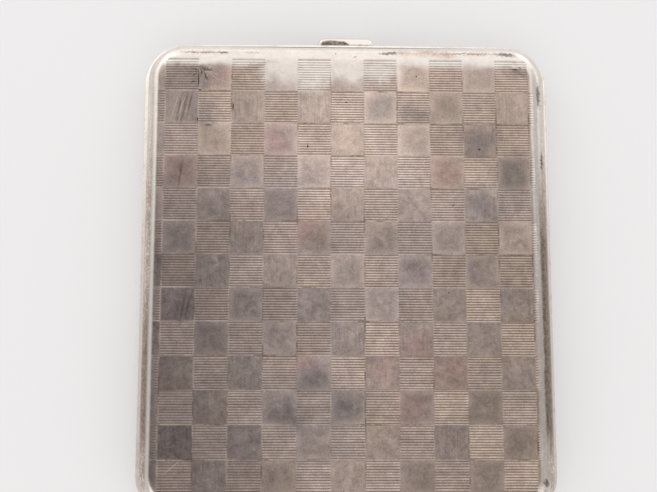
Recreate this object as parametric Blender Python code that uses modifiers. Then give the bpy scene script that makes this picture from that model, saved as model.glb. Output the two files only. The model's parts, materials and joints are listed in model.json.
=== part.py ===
"""Silver cigarette case with a push catch: the construction model.

Two shallow pressed pans close on each other. They turn on a hinge of silver tubes along the back edge,
and a sprung push bar in the front edge lets the lid go. A woven elastic strap inside holds one row of
cigarettes. The model is in metres with +Z up. Its origin is the middle of the base's flat underside,
the hinge is at -Y and the push bar at +Y.
"""
import math

import bmesh
import bpy
from mathutils import Matrix, Vector

MM = 0.001

# Whole case
CASE_WIDTH = 81.5 * MM
CASE_LENGTH = 94.7 * MM
CASE_THICKNESS = 10.0 * MM
FRAME_PROUD = 0.9 * MM
SHEET = 0.7 * MM
CORNER_RADIUS = 7.6 * MM
ROLL_RADIUS = 3.6 * MM
SEAM_GAP = 0.2 * MM
FIT_GAP = 0.3 * MM
CUT_OVERRUN = 2.0 * MM

# Frames round the two mouths, and the base's bezels
BASE_FRAME_WIDTH = 2.6 * MM
BASE_FRAME_HEIGHT = 0.8 * MM
SHELL_TO_FRAME_GAP = 0.2 * MM
LID_FRAME_WIDTH = 0.7 * MM
LID_FRAME_HEIGHT = 0.8 * MM
BEZEL_THICKNESS = 0.5 * MM
BEZEL_RISE = 1.2 * MM
BEZEL_DEPTH = 3.3 * MM
BEZEL_BACK_ROOM = 13.0 * MM

# Hinge
HINGE_INSET = 12.1 * MM
KNUCKLE_RADIUS = 1.2 * MM
KNUCKLE_GAP = 0.2 * MM
PIN_RADIUS = 0.55 * MM
PIN_CLEARANCE = 0.1 * MM
PIN_OVERHANG = 0.15 * MM
PIN_END_RADIUS = 0.12 * MM
BEARER_REACH = 3.2 * MM
BEARER_DEPTH = 2.0 * MM
BEARER_SET_IN = 0.07 * MM

# Push bar and its shank
BAR_WIDTH = 11.8 * MM
BAR_HEIGHT = 2.4 * MM
BAR_STANDS_OUT = 2.3 * MM
BAR_END_RADIUS = 1.15 * MM
BAR_NOSE_RADIUS = 1.05 * MM
BAR_INSET = 0.2 * MM
SHANK_RADIUS = 0.6 * MM
SHANK_COLLAR_RADIUS = 1.05 * MM
SHANK_COLLAR_LENGTH = 0.4 * MM
SHANK_HEAD_RADIUS = 1.2 * MM
SHANK_HEAD_LENGTH = 0.4 * MM

# Catch spring, its rivets and the lid's keeper
SPRING_THICKNESS = 0.4 * MM
SPRING_LENGTH = 30.0 * MM
SPRING_FLAT_END = 4.5 * MM
SPRING_LOW = 1.3 * MM
SPRING_HEIGHT = 3.1 * MM
SPRING_BOW = 0.8 * MM
RIVET_RADIUS = 0.5 * MM
RIVET_HEAD_RADIUS = 1.0 * MM
RIVET_HEAD_LENGTH = 0.35 * MM
RIVET_FROM_END = 2.2 * MM
CATCH_OPENING = 10.0 * MM
LIP_WIDTH = 5.0 * MM
LIP_THICKNESS = 0.35 * MM
LIP_BITE = 0.4 * MM
LIP_SET_IN = 0.05 * MM
KEEPER_WIDTH = 5.0 * MM
KEEPER_THICKNESS = 0.6 * MM
KEEPER_DROP = 0.9 * MM
BARB_HEIGHT = 0.5 * MM
BARB_REACH = 0.7 * MM

# Elastic strap and its wire loops
STRAP_WIDTH = 7.0 * MM
STRAP_THICKNESS = 0.6 * MM
STRAP_TAIL = 9.0 * MM
STRAP_TAIL_GAP = 0.15 * MM
STRAP_WRAP_GAP = 0.2 * MM
LOOP_INSET = 10.0 * MM
LOOP_WIRE_RADIUS = 0.45 * MM
LOOP_BEND_RADIUS = 0.9 * MM
LOOP_BAR_LIFT = 1.45 * MM
LOOP_SIDE_ROOM = 0.5 * MM

# How finely round forms are cut, and how many tubes the hinge has
CORNER_STEPS = 8
ROLL_STEPS = 6
TUBE_SIDES = 24
BAR_STEPS = 4
BOW_STEPS = 12
WRAP_STEPS = 8
BEND_STEPS = 4
KNUCKLE_COUNT = 7

# Levels and lines that several pieces share
SEAM_Z = CASE_THICKNESS / 2
BASE_MOUTH_Z = SEAM_Z - SEAM_GAP / 2
LID_MOUTH_Z = SEAM_Z + SEAM_GAP / 2
BASE_FRAME_LOW_Z = BASE_MOUTH_Z - BASE_FRAME_HEIGHT
BASE_WALL_TOP_Z = BASE_FRAME_LOW_Z - SHELL_TO_FRAME_GAP
SHELL_WIDTH = CASE_WIDTH - 2 * FRAME_PROUD
SHELL_LENGTH = CASE_LENGTH - 2 * FRAME_PROUD
FRONT_Y = SHELL_LENGTH / 2
BACK_Y = -SHELL_LENGTH / 2

# Each step inwards from the shell's outer line
LID_FRAME_STEP = SHEET + FIT_GAP
BEZEL_STEP = LID_FRAME_STEP + LID_FRAME_WIDTH + FIT_GAP
BEZEL_INNER_Y = FRONT_Y - BEZEL_STEP - BEZEL_THICKNESS

# The hinge's axis and length, and the channel that its tubes turn in
HINGE_Y = -CASE_LENGTH / 2
HINGE_HALF = CASE_WIDTH / 2 - HINGE_INSET
HINGE_LENGTH = 2 * HINGE_HALF
CHANNEL_RADIUS = KNUCKLE_RADIUS + FIT_GAP

# The push bar, the spring behind it and the keeper above
BAR_MIDDLE_Z = BASE_WALL_TOP_Z - BAR_HEIGHT / 2
BAR_INNER_Y = FRONT_Y - SHEET - BAR_INSET
BAR_OUTER_Y = CASE_LENGTH / 2 + BAR_STANDS_OUT
SPRING_END_Y = BEZEL_INNER_Y - FIT_GAP
SPRING_MIDDLE_Y = SPRING_END_Y - SPRING_BOW
KEEPER_OUTER_Y = FRONT_Y - LID_FRAME_STEP - LID_FRAME_WIDTH - FIT_GAP
BARB_TIP_Y = KEEPER_OUTER_Y - KEEPER_THICKNESS - BARB_REACH
KEEPER_LOW_Z = BASE_MOUTH_Z - KEEPER_DROP
RIVET_X = SPRING_LENGTH / 2 - RIVET_FROM_END
RIVET_Z = SPRING_LOW + SPRING_HEIGHT / 2

# The strap's run above the base's floor
LOOP_Y = CASE_LENGTH / 2 - LOOP_INSET
LOOP_BAR_Z = SHEET + LOOP_BAR_LIFT
STRAP_WRAP = LOOP_WIRE_RADIUS + STRAP_WRAP_GAP + STRAP_THICKNESS / 2

X_AXIS = Vector((1, 0, 0))
Y_AXIS = Vector((0, 1, 0))
Z_TO_Y = Matrix.Rotation(-math.pi / 2, 4, "X")
# Turns an outline's across, up and along into Y, Z and X
SIDE_VIEW = Matrix(((0, 0, 1, 0), (1, 0, 0, 0), (0, 1, 0, 0), (0, 0, 0, 1)))
SMOOTH_BELOW = math.radians(30)
WELD_DISTANCE = 0.0001 * MM

SILVER = ("silver", (0.60, 0.56, 0.53, 1.0), 0.34, 1.0)
POLISHED_SILVER = ("polished_silver", (0.84, 0.82, 0.78, 1.0), 0.2, 1.0)
SPRING_NICKEL = ("spring_nickel", (0.58, 0.54, 0.46, 1.0), 0.32, 1.0)
ELASTIC = ("elastic", (0.62, 0.52, 0.34, 1.0), 0.9, 0.0)


def clear_scene():
    for old in list(bpy.data.objects):
        bpy.data.objects.remove(old, do_unlink=True)


def new_collection(name):
    group = bpy.data.collections.new(name)
    bpy.context.scene.collection.children.link(group)
    return group


def new_material(name, finish):
    """A material of its own for one piece, from its finish: kind, colour, roughness, metallic."""
    kind, colour, roughness, metallic = finish
    material = bpy.data.materials.new(name + "_" + kind)
    material.use_nodes = True
    shader = material.node_tree.nodes["Principled BSDF"]
    shader.inputs["Base Color"].default_value = colour
    shader.inputs["Roughness"].default_value = roughness
    shader.inputs["Metallic"].default_value = metallic
    return material


class Bench:
    """Where pieces and cutters are put, and the joint that the pieces being made move with."""

    def __init__(self, pieces, cutters):
        self.pieces = pieces
        self.cutters = cutters
        self.pivot = None

    def set_pivot(self, name, place):
        """An empty on a joint's axis. The pieces that are made next move with it."""
        self.pivot = bpy.data.objects.new(name, None)
        self.pivot.location = place
        self.pieces.objects.link(self.pivot)
        bpy.context.view_layer.update()

    def add_piece(self, name, data, finish):
        piece = bpy.data.objects.new(name, data)
        self.pieces.objects.link(piece)
        data.materials.append(new_material(name, finish))
        if self.pivot is not None:
            piece.parent = self.pivot
            piece.matrix_parent_inverse = self.pivot.matrix_world.inverted()
        return piece

    def add_cutter(self, name, mesh):
        cutter = bpy.data.objects.new(name, mesh)
        cutter.display_type = "WIRE"
        cutter.hide_render = True
        self.cutters.objects.link(cutter)
        return cutter


def combine(piece, other, operation="DIFFERENCE"):
    boolean = piece.modifiers.new(operation.title() + " " + other.name, "BOOLEAN")
    boolean.operation = operation
    boolean.solver = "EXACT"
    boolean.object = other


def finished_mesh(name, bm):
    mesh = bpy.data.meshes.new(name)
    bm.to_mesh(mesh)
    bm.free()
    mesh.shade_smooth()
    mesh.set_sharp_from_angle(angle=SMOOTH_BELOW)
    return mesh


def box_form(low, high):
    """A closed box between two corners."""
    low, high = Vector(low), Vector(high)
    bm = bmesh.new()
    bmesh.ops.create_cube(bm, size=1)
    bmesh.ops.scale(bm, vec=high - low, verts=bm.verts)
    bmesh.ops.translate(bm, vec=(low + high) / 2, verts=bm.verts)
    return bm


def round_edges(bm, edges, radius, steps):
    bmesh.ops.bevel(
        bm, geom=edges, offset=radius, segments=steps, profile=0.5,
        affect="EDGES", clamp_overlap=False,
    )


def slab_form(step, low_z, high_z):
    """A solid plate with the case's outline, step inside the shell's outer line."""
    half = Vector((SHELL_WIDTH / 2 - step, SHELL_LENGTH / 2 - step))
    bm = box_form((-half.x, -half.y, low_z), (half.x, half.y, high_z))
    upright = [e for e in bm.edges if e.verts[0].co.xy == e.verts[1].co.xy]
    round_edges(bm, upright, CORNER_RADIUS - step, CORNER_STEPS)
    return bm


def lies_at(item, level):
    """Whether an edge or a face lies wholly at one height."""
    return all(math.isclose(v.co.z, level, abs_tol=WELD_DISTANCE) for v in item.verts)


def rod_form(axis, radius, length, middle, open_ended=False):
    """A round rod, or the skin of a tube, along an axis and round its middle."""
    bm = bmesh.new()
    bmesh.ops.create_cone(
        bm, cap_ends=not open_ended, segments=TUBE_SIDES, radius1=radius, radius2=radius, depth=length
    )
    turn = Vector((0, 0, 1)).rotation_difference(axis).to_matrix().to_4x4()
    bmesh.ops.transform(bm, matrix=Matrix.Translation(middle) @ turn, verts=bm.verts)
    return bm


def thicken(piece, thickness, side=-1):
    """Give an open skin its thickness: behind it at side -1, and to both sides at 0."""
    sheet = piece.modifiers.new("Sheet", "SOLIDIFY")
    sheet.thickness = thickness
    sheet.offset = side
    sheet.use_even_offset = True


def add_pan(bench, name, face_z, mouth_z):
    """A pressed pan: a flat face, a rolled edge and an open mouth."""
    bm = slab_form(0, min(face_z, mouth_z), max(face_z, mouth_z))
    mouth = [f for f in bm.faces if lies_at(f, mouth_z)]
    bmesh.ops.delete(bm, geom=mouth, context="FACES_ONLY")
    round_edges(bm, [e for e in bm.edges if lies_at(e, face_z)], ROLL_RADIUS, ROLL_STEPS)
    pan = bench.add_piece(name, finished_mesh(name, bm), SILVER)
    thicken(pan, SHEET)
    return pan


def add_band(bench, name, step, thickness, low_z, high_z):
    """An upright band that follows the case's outline."""
    bm = slab_form(step, low_z, high_z)
    ends = [f for f in bm.faces if lies_at(f, low_z) or lies_at(f, high_z)]
    bmesh.ops.delete(bm, geom=ends, context="FACES_ONLY")
    band = bench.add_piece(name, finished_mesh(name, bm), POLISHED_SILVER)
    thicken(band, thickness)
    return band


def side_outline_mesh(name, outline, width):
    """A flat outline of (y, z) points made solid along X, width wide."""
    curve = bpy.data.curves.new(name, "CURVE")
    curve.dimensions = "2D"
    curve.fill_mode = "BOTH"
    curve.extrude = width / 2
    spline = curve.splines.new("POLY")
    spline.points.add(len(outline) - 1)
    for point, (across, up) in zip(spline.points, outline):
        point.co = (across, up, 0, 1)
    spline.use_cyclic_u = True
    guide = bpy.data.objects.new(name, curve)
    bpy.context.scene.collection.objects.link(guide)
    evaluated = guide.evaluated_get(bpy.context.evaluated_depsgraph_get())
    flat = bpy.data.meshes.new_from_object(evaluated)
    bpy.data.objects.remove(guide, do_unlink=True)
    bm = bmesh.new()
    bm.from_mesh(flat)
    bpy.data.meshes.remove(flat)
    bmesh.ops.remove_doubles(bm, verts=bm.verts, dist=WELD_DISTANCE)
    bmesh.ops.transform(bm, matrix=SIDE_VIEW, verts=bm.verts)
    bmesh.ops.recalc_face_normals(bm, faces=bm.faces)
    return finished_mesh(name, bm)


def ribbon_mesh(name, path, low, high, turn=Matrix.Identity(4)):
    """An open skin: a line of points drawn out from low to high."""
    bm = bmesh.new()
    verts = [bm.verts.new((across, up, low)) for across, up in path]
    edges = [bm.edges.new(pair) for pair in zip(verts, verts[1:])]
    drawn = bmesh.ops.extrude_edge_only(bm, edges=edges)
    far = [item for item in drawn["geom"] if isinstance(item, bmesh.types.BMVert)]
    bmesh.ops.translate(bm, vec=(0, 0, high - low), verts=far)
    bmesh.ops.transform(bm, matrix=turn, verts=bm.verts)
    return finished_mesh(name, bm)


def add_turning(bench, name, profile, place, finish):
    """A turned piece along +Y. Its profile is (radius, y) from the far end to the near one."""
    bm = bmesh.new()
    verts = [bm.verts.new((radius, 0, y)) for radius, y in profile]
    for first, second in zip(verts, verts[1:]):
        bm.edges.new((first, second))
    mesh = bpy.data.meshes.new(name)
    bm.to_mesh(mesh)
    bm.free()
    piece = bench.add_piece(name, mesh, finish)
    piece.matrix_world = Matrix.Translation(place) @ Z_TO_Y
    screw = piece.modifiers.new("Turn", "SCREW")
    screw.axis = "Z"
    screw.steps = TUBE_SIDES
    screw.render_steps = TUBE_SIDES
    screw.use_merge_vertices = True
    screw.merge_threshold = WELD_DISTANCE
    screw.use_smooth_shade = False
    return piece


def hinge_window(mouth_z, away):
    """The opening in the back wall for a bearer. away is +1 upwards and -1 downwards."""
    half = HINGE_HALF + FIT_GAP
    levels = (mouth_z - away * CUT_OVERRUN, mouth_z + away * (BEARER_DEPTH + FIT_GAP))
    low = (-half, BACK_Y - CUT_OVERRUN, min(levels))
    high = (half, BACK_Y + BEARER_REACH + FIT_GAP, max(levels))
    return finished_mesh("hinge_window", box_form(low, high))


def add_bearer(bench, name, mouth_z, away, channel):
    """A coved strip let into the back wall, which carries one half's tubes."""
    levels = (mouth_z, mouth_z + away * BEARER_DEPTH)
    low = (-HINGE_HALF, BACK_Y + BEARER_SET_IN, min(levels))
    high = (HINGE_HALF, BACK_Y + BEARER_REACH, max(levels))
    bearer = bench.add_piece(name, finished_mesh(name, box_form(low, high)), POLISHED_SILVER)
    combine(bearer, channel)


def add_knuckle(bench, name, index):
    """One tube of the hinge, counted from the left."""
    length = (HINGE_LENGTH - (KNUCKLE_COUNT - 1) * KNUCKLE_GAP) / KNUCKLE_COUNT
    middle_x = -HINGE_HALF + length / 2 + index * (length + KNUCKLE_GAP)
    skin = rod_form(X_AXIS, KNUCKLE_RADIUS, length, (middle_x, HINGE_Y, SEAM_Z), open_ended=True)
    tube = bench.add_piece(name, finished_mesh(name, skin), POLISHED_SILVER)
    thicken(tube, KNUCKLE_RADIUS - PIN_RADIUS - PIN_CLEARANCE)


def add_hinge_pin(bench):
    length = HINGE_LENGTH + 2 * PIN_OVERHANG
    form = rod_form(X_AXIS, PIN_RADIUS, length, (0, HINGE_Y, SEAM_Z))
    pin = bench.add_piece("hinge_pin", finished_mesh("hinge_pin", form), SPRING_NICKEL)
    bevel = pin.modifiers.new("Peened ends", "BEVEL")
    bevel.width = PIN_END_RADIUS
    bevel.segments = 2
    bevel.limit_method = "ANGLE"
    bevel.angle_limit = math.radians(60)


def bar_form(inner_y, outer_y, growth=0, nose_radius=0):
    """The push bar: rounded ends seen from the front, and a domed nose. growth makes its slot."""
    half = Vector((BAR_WIDTH, BAR_HEIGHT)) / 2 + Vector((growth, growth))
    bm = box_form((-half.x, inner_y, BAR_MIDDLE_Z - half.y), (half.x, outer_y, BAR_MIDDLE_Z + half.y))
    lengthwise = [e for e in bm.edges if e.verts[0].co.xz == e.verts[1].co.xz]
    round_edges(bm, lengthwise, BAR_END_RADIUS + growth, BAR_STEPS)
    if nose_radius:
        nose = [e for e in bm.edges if all(v.co.y > outer_y - nose_radius / 2 for v in e.verts)]
        round_edges(bm, nose, nose_radius, BAR_STEPS)
    return bm


def add_base(bench):
    """The pan, its frame and bezels."""
    shell = add_pan(bench, "base_shell", 0, BASE_WALL_TOP_Z)
    window = bench.add_cutter("base_hinge_window", hinge_window(BASE_MOUTH_Z, -1))
    slot_form = bar_form(BEZEL_INNER_Y, BAR_OUTER_Y, FIT_GAP)
    slot = bench.add_cutter("push_bar_slot", finished_mesh("push_bar_slot", slot_form))
    combine(shell, window)
    combine(shell, slot)
    frame = add_band(
        bench, "base_edge_frame", -FRAME_PROUD, BASE_FRAME_WIDTH, BASE_FRAME_LOW_Z, BASE_MOUTH_Z
    )
    combine(frame, window)
    for side, sign in (("left", -1), ("right", 1)):
        add_bezel(bench, "base_bezel_" + side, sign)


def add_bezel(bench, name, sign):
    """Half of the thin upstand in the base's mouth, from the catch round one front corner and back."""
    bezel = add_band(
        bench, name, BEZEL_STEP, BEZEL_THICKNESS, BASE_MOUTH_Z - BEZEL_DEPTH, BASE_MOUTH_Z + BEZEL_RISE
    )
    kept_from, cut_to = sign * CATCH_OPENING / 2, -sign * CASE_WIDTH
    other_half = box_form(
        (min(kept_from, cut_to), -CASE_LENGTH, 0), (max(kept_from, cut_to), CASE_LENGTH, CASE_THICKNESS)
    )
    back = box_form(
        (-CASE_WIDTH, -CASE_LENGTH, 0), (CASE_WIDTH, BACK_Y + BEZEL_BACK_ROOM, CASE_THICKNESS)
    )
    rivet_hole = rod_form(
        Y_AXIS, RIVET_RADIUS + FIT_GAP, CUT_OVERRUN, (sign * RIVET_X, BEZEL_INNER_Y, RIVET_Z)
    )
    for label, form in (("other_half", other_half), ("back", back), ("rivet_hole", rivet_hole)):
        cutter_name = name + "_" + label
        combine(bezel, bench.add_cutter(cutter_name, finished_mesh(cutter_name, form)))


def add_lid(bench):
    shell = add_pan(bench, "lid_shell", CASE_THICKNESS, LID_MOUTH_Z)
    frame = add_band(
        bench, "lid_edge_frame", LID_FRAME_STEP, LID_FRAME_WIDTH, LID_MOUTH_Z,
        LID_MOUTH_Z + LID_FRAME_HEIGHT,
    )
    window = bench.add_cutter("lid_hinge_window", hinge_window(LID_MOUTH_Z, 1))
    combine(shell, window)
    combine(frame, window)


def add_keeper(bench):
    """A tongue inside the lid's front wall, with a barb at its foot that faces inwards."""
    inner_y = KEEPER_OUTER_Y - KEEPER_THICKNESS
    high_z = LID_MOUTH_Z + LID_FRAME_HEIGHT
    barb_z = KEEPER_LOW_Z + BARB_HEIGHT
    outline = [
        (KEEPER_OUTER_Y, KEEPER_LOW_Z),
        (KEEPER_OUTER_Y, high_z),
        (inner_y, high_z),
        (inner_y, barb_z),
        (BARB_TIP_Y, barb_z),
        (BARB_TIP_Y, KEEPER_LOW_Z),
    ]
    mesh = side_outline_mesh("lid_keeper", outline, KEEPER_WIDTH)
    bench.add_piece("lid_keeper", mesh, POLISHED_SILVER)


def spring_path():
    """The leaf spring's outer side from above: flat ends, and a middle that bows inwards."""
    half = SPRING_LENGTH / 2
    bowed = half - SPRING_FLAT_END
    path = [(-half, SPRING_END_Y)]
    for step in range(BOW_STEPS + 1):
        x = bowed * (2 * step / BOW_STEPS - 1)
        bow = SPRING_BOW * (1 + math.cos(math.pi * x / bowed)) / 2
        path.append((x, SPRING_END_Y - bow))
    return path + [(half, SPRING_END_Y)]


def add_catch_spring(bench):
    """The leaf spring, with a hooked lip that stands over the keeper's barb."""
    mesh = ribbon_mesh("catch_spring", spring_path(), SPRING_LOW, SPRING_LOW + SPRING_HEIGHT)
    spring = bench.add_piece("catch_spring", mesh, SPRING_NICKEL)
    thicken(spring, SPRING_THICKNESS)

    back = SPRING_MIDDLE_Y - SPRING_THICKNESS + LIP_SET_IN
    front = SPRING_MIDDLE_Y - LIP_SET_IN
    lip_z = KEEPER_LOW_Z + BARB_HEIGHT + FIT_GAP
    top_z = lip_z + LIP_THICKNESS
    tip = BARB_TIP_Y + LIP_BITE
    root_z = RIVET_Z + SHANK_RADIUS + FIT_GAP
    outline = [(back, root_z), (front, root_z), (front, lip_z), (tip, lip_z), (tip, top_z), (back, top_z)]
    lip_mesh = side_outline_mesh("catch_lip", outline, LIP_WIDTH)
    combine(spring, bench.add_cutter("catch_lip", lip_mesh), "UNION")

    holes = (
        ("rivet_hole_left", -RIVET_X, RIVET_Z, RIVET_RADIUS),
        ("rivet_hole_right", RIVET_X, RIVET_Z, RIVET_RADIUS),
        ("shank_hole", 0, BAR_MIDDLE_Z, SHANK_RADIUS),
    )
    for label, x, z, radius in holes:
        form = rod_form(Y_AXIS, radius + FIT_GAP, 2 * CUT_OVERRUN, (x, SPRING_END_Y, z))
        combine(spring, bench.add_cutter(label, finished_mesh(label, form)))


def add_catch_rivet(bench, name, x):
    """A rivet through the spring's end and the bezel, with a head on both sides."""
    inner_head = SPRING_END_Y - SPRING_THICKNESS - FIT_GAP
    outer_head = BEZEL_INNER_Y + BEZEL_THICKNESS + FIT_GAP
    profile = [
        (0, outer_head + RIVET_HEAD_LENGTH),
        (RIVET_HEAD_RADIUS, outer_head + RIVET_HEAD_LENGTH),
        (RIVET_HEAD_RADIUS, outer_head),
        (RIVET_RADIUS, outer_head),
        (RIVET_RADIUS, inner_head),
        (RIVET_HEAD_RADIUS, inner_head),
        (RIVET_HEAD_RADIUS, inner_head - RIVET_HEAD_LENGTH),
        (0, inner_head - RIVET_HEAD_LENGTH),
    ]
    add_turning(bench, name, profile, (x, 0, RIVET_Z), POLISHED_SILVER)


def add_thumb(bench):
    """The push bar, and the shank that carries it on the spring."""
    form = bar_form(BAR_INNER_Y, BAR_OUTER_Y, nose_radius=BAR_NOSE_RADIUS)
    bench.add_piece("thumb_piece", finished_mesh("thumb_piece", form), POLISHED_SILVER)
    collar = SPRING_MIDDLE_Y + FIT_GAP
    head = SPRING_MIDDLE_Y - SPRING_THICKNESS - FIT_GAP
    profile = [
        (0, BAR_INNER_Y - FIT_GAP),
        (SHANK_RADIUS, BAR_INNER_Y - FIT_GAP),
        (SHANK_RADIUS, collar + SHANK_COLLAR_LENGTH),
        (SHANK_COLLAR_RADIUS, collar + SHANK_COLLAR_LENGTH),
        (SHANK_COLLAR_RADIUS, collar),
        (SHANK_RADIUS, collar),
        (SHANK_RADIUS, head),
        (SHANK_HEAD_RADIUS, head),
        (SHANK_HEAD_RADIUS, head - SHANK_HEAD_LENGTH),
        (0, head - SHANK_HEAD_LENGTH),
    ]
    add_turning(bench, "thumb_shank", profile, (0, 0, BAR_MIDDLE_Z), POLISHED_SILVER)


def strap_path():
    """The strap's middle line in side view: a tail, round one loop, across, round the other, a tail."""
    tail_z = LOOP_BAR_Z + STRAP_WRAP - STRAP_THICKNESS - STRAP_TAIL_GAP
    path = [(LOOP_Y - STRAP_TAIL, tail_z), (LOOP_Y - STRAP_TAIL / 2, tail_z)]
    for step in range(WRAP_STEPS + 1):
        angle = math.pi * (step / WRAP_STEPS - 0.5)
        path.append((LOOP_Y + STRAP_WRAP * math.cos(angle), LOOP_BAR_Z + STRAP_WRAP * math.sin(angle)))
    return path + [(-y, z) for y, z in reversed(path)]


def add_strap(bench):
    """The elastic strap, folded round both loops, as one ribbon."""
    half = STRAP_WIDTH / 2
    mesh = ribbon_mesh("elastic_strap", strap_path(), -half, half, SIDE_VIEW)
    strap = bench.add_piece("elastic_strap", mesh, ELASTIC)
    thicken(strap, STRAP_THICKNESS, side=0)


def add_strap_loop(bench, name, y):
    """A wire staple that stands on the base's floor."""
    half = STRAP_WIDTH / 2 + LOOP_SIDE_ROOM + LOOP_WIRE_RADIUS
    leg = [(half, SHEET + FIT_GAP)]
    for step in range(BEND_STEPS + 1):
        angle = math.pi / 2 * step / BEND_STEPS
        bend_x = half - LOOP_BEND_RADIUS * (1 - math.cos(angle))
        bend_z = LOOP_BAR_Z - LOOP_BEND_RADIUS * (1 - math.sin(angle))
        leg.append((bend_x, bend_z))
    wire = leg + [(-x, z) for x, z in reversed(leg)]
    curve = bpy.data.curves.new(name, "CURVE")
    curve.dimensions = "3D"
    curve.bevel_depth = LOOP_WIRE_RADIUS
    curve.bevel_resolution = 2
    curve.use_fill_caps = True
    spline = curve.splines.new("POLY")
    spline.points.add(len(wire) - 1)
    for point, (x, z) in zip(spline.points, wire):
        point.co = (x, y, z, 1)
    bench.add_piece(name, curve, POLISHED_SILVER)


def main():
    clear_scene()
    bench = Bench(new_collection("silver_cigarette_case"), new_collection("cutters"))
    channel_form = rod_form(
        X_AXIS, CHANNEL_RADIUS, HINGE_LENGTH + 2 * CUT_OVERRUN, (0, HINGE_Y, SEAM_Z)
    )
    channel = bench.add_cutter("hinge_channel", finished_mesh("hinge_channel", channel_form))

    add_base(bench)
    add_bearer(bench, "base_hinge_bearer", BASE_MOUTH_Z, -1, channel)
    for count, index in enumerate(range(0, KNUCKLE_COUNT, 2), start=1):
        add_knuckle(bench, f"base_knuckle_{count}", index)
    add_hinge_pin(bench)
    add_catch_spring(bench)
    add_catch_rivet(bench, "catch_rivet_left", -RIVET_X)
    add_catch_rivet(bench, "catch_rivet_right", RIVET_X)
    add_strap_loop(bench, "strap_loop_front", LOOP_Y)
    add_strap_loop(bench, "strap_loop_back", -LOOP_Y)
    add_strap(bench)

    bench.set_pivot("thumb_press_axis", (0, BAR_INNER_Y, BAR_MIDDLE_Z))
    add_thumb(bench)

    bench.set_pivot("lid_hinge_axis", (0, HINGE_Y, SEAM_Z))
    add_lid(bench)
    add_bearer(bench, "lid_hinge_bearer", LID_MOUTH_Z, 1, channel)
    for count, index in enumerate(range(1, KNUCKLE_COUNT, 2), start=1):
        add_knuckle(bench, f"lid_knuckle_{count}", index)
    add_keeper(bench)


main()
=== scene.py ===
"""Looks of a silver cigarette case: engine-turned pans, gilt inside, rubbed edges and a push catch.

The file is laid out as a Blender add-on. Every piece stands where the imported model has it: lengths are in
metres, the hinge is at -Y, the push bar at +Y and the lid's face is up.
"""
import json
import math
from functools import partial
from types import SimpleNamespace

import bmesh
import bpy
from bpy.props import FloatProperty, FloatVectorProperty, IntProperty, PointerProperty
from mathutils import Matrix, Vector, noise


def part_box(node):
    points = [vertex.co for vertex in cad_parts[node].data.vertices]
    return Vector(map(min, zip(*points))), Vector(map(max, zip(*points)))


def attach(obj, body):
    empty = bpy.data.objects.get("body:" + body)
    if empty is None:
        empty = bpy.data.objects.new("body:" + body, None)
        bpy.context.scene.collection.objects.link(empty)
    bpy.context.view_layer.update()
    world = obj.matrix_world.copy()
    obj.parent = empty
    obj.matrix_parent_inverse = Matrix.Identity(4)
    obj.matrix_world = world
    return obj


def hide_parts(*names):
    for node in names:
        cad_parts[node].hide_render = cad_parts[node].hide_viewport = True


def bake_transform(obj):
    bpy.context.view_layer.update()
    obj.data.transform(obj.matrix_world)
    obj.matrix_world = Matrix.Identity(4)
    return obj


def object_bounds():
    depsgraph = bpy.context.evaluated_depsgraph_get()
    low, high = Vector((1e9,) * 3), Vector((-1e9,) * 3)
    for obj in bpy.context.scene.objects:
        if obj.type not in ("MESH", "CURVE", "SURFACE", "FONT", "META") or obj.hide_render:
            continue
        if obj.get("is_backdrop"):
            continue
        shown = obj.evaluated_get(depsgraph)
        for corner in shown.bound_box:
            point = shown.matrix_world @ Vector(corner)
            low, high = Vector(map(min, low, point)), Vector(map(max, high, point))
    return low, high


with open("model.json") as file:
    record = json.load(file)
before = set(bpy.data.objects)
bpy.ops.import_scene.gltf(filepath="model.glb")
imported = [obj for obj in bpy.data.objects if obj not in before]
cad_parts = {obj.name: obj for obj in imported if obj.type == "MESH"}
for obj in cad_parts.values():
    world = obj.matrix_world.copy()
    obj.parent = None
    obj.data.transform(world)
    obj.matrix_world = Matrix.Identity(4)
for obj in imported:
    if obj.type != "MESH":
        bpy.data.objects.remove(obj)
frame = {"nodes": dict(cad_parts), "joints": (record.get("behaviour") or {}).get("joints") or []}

bl_info = {
    "name": "Engine-turned cigarette case",
    "version": (1, 0, 0),
    "blender": (4, 5, 0),
    "location": "3D View > Sidebar > Case",
    "description": "Builds the visible surfaces of a silver cigarette case round its packed model",
    "category": "Object",
}

MM = 0.001

# Levels and lines of the case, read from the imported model
CAD_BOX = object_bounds()
LID_LOW, LID_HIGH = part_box("lid_shell")
BASE_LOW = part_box("base_shell")[0]
BASE_FRAME_LOW, BASE_FRAME_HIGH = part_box("base_edge_frame")
LID_FRAME_LOW, LID_FRAME_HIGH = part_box("lid_edge_frame")
BEARER_LOW, BEARER_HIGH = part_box("base_hinge_bearer")
LID_BEARER_LOW, LID_BEARER_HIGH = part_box("lid_hinge_bearer")
BEZEL_LOW, BEZEL_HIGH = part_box("base_bezel_right")
BAR_LOW, BAR_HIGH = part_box("thumb_piece")
SHANK_LOW, SHANK_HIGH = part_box("thumb_shank")
SPRING_LOW, SPRING_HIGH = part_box("catch_spring")
KEEPER_LOW, KEEPER_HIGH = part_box("lid_keeper")
LOOP_LOW, LOOP_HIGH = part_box("strap_loop_front")
STRAP_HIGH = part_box("elastic_strap")[1]
PIN_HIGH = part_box("hinge_pin")[1]
TUBES = sorted(name for name in frame["nodes"] if "_knuckle_" in name)
HINGE = Vector(next(j for j in frame["joints"] if j["type"] == "hinge")["pos_m"])
HALF_WIDTH, HALF_LENGTH = LID_HIGH.x, LID_HIGH.y

# Counts that the photographed pattern gives
SQUARES_ALONG = 13
SQUARES_ACROSS = 11
GROOVES = 13

# What every colour property has
COLOUR = {"size": 4, "min": 0, "max": 1, "subtype": "COLOR"}


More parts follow.
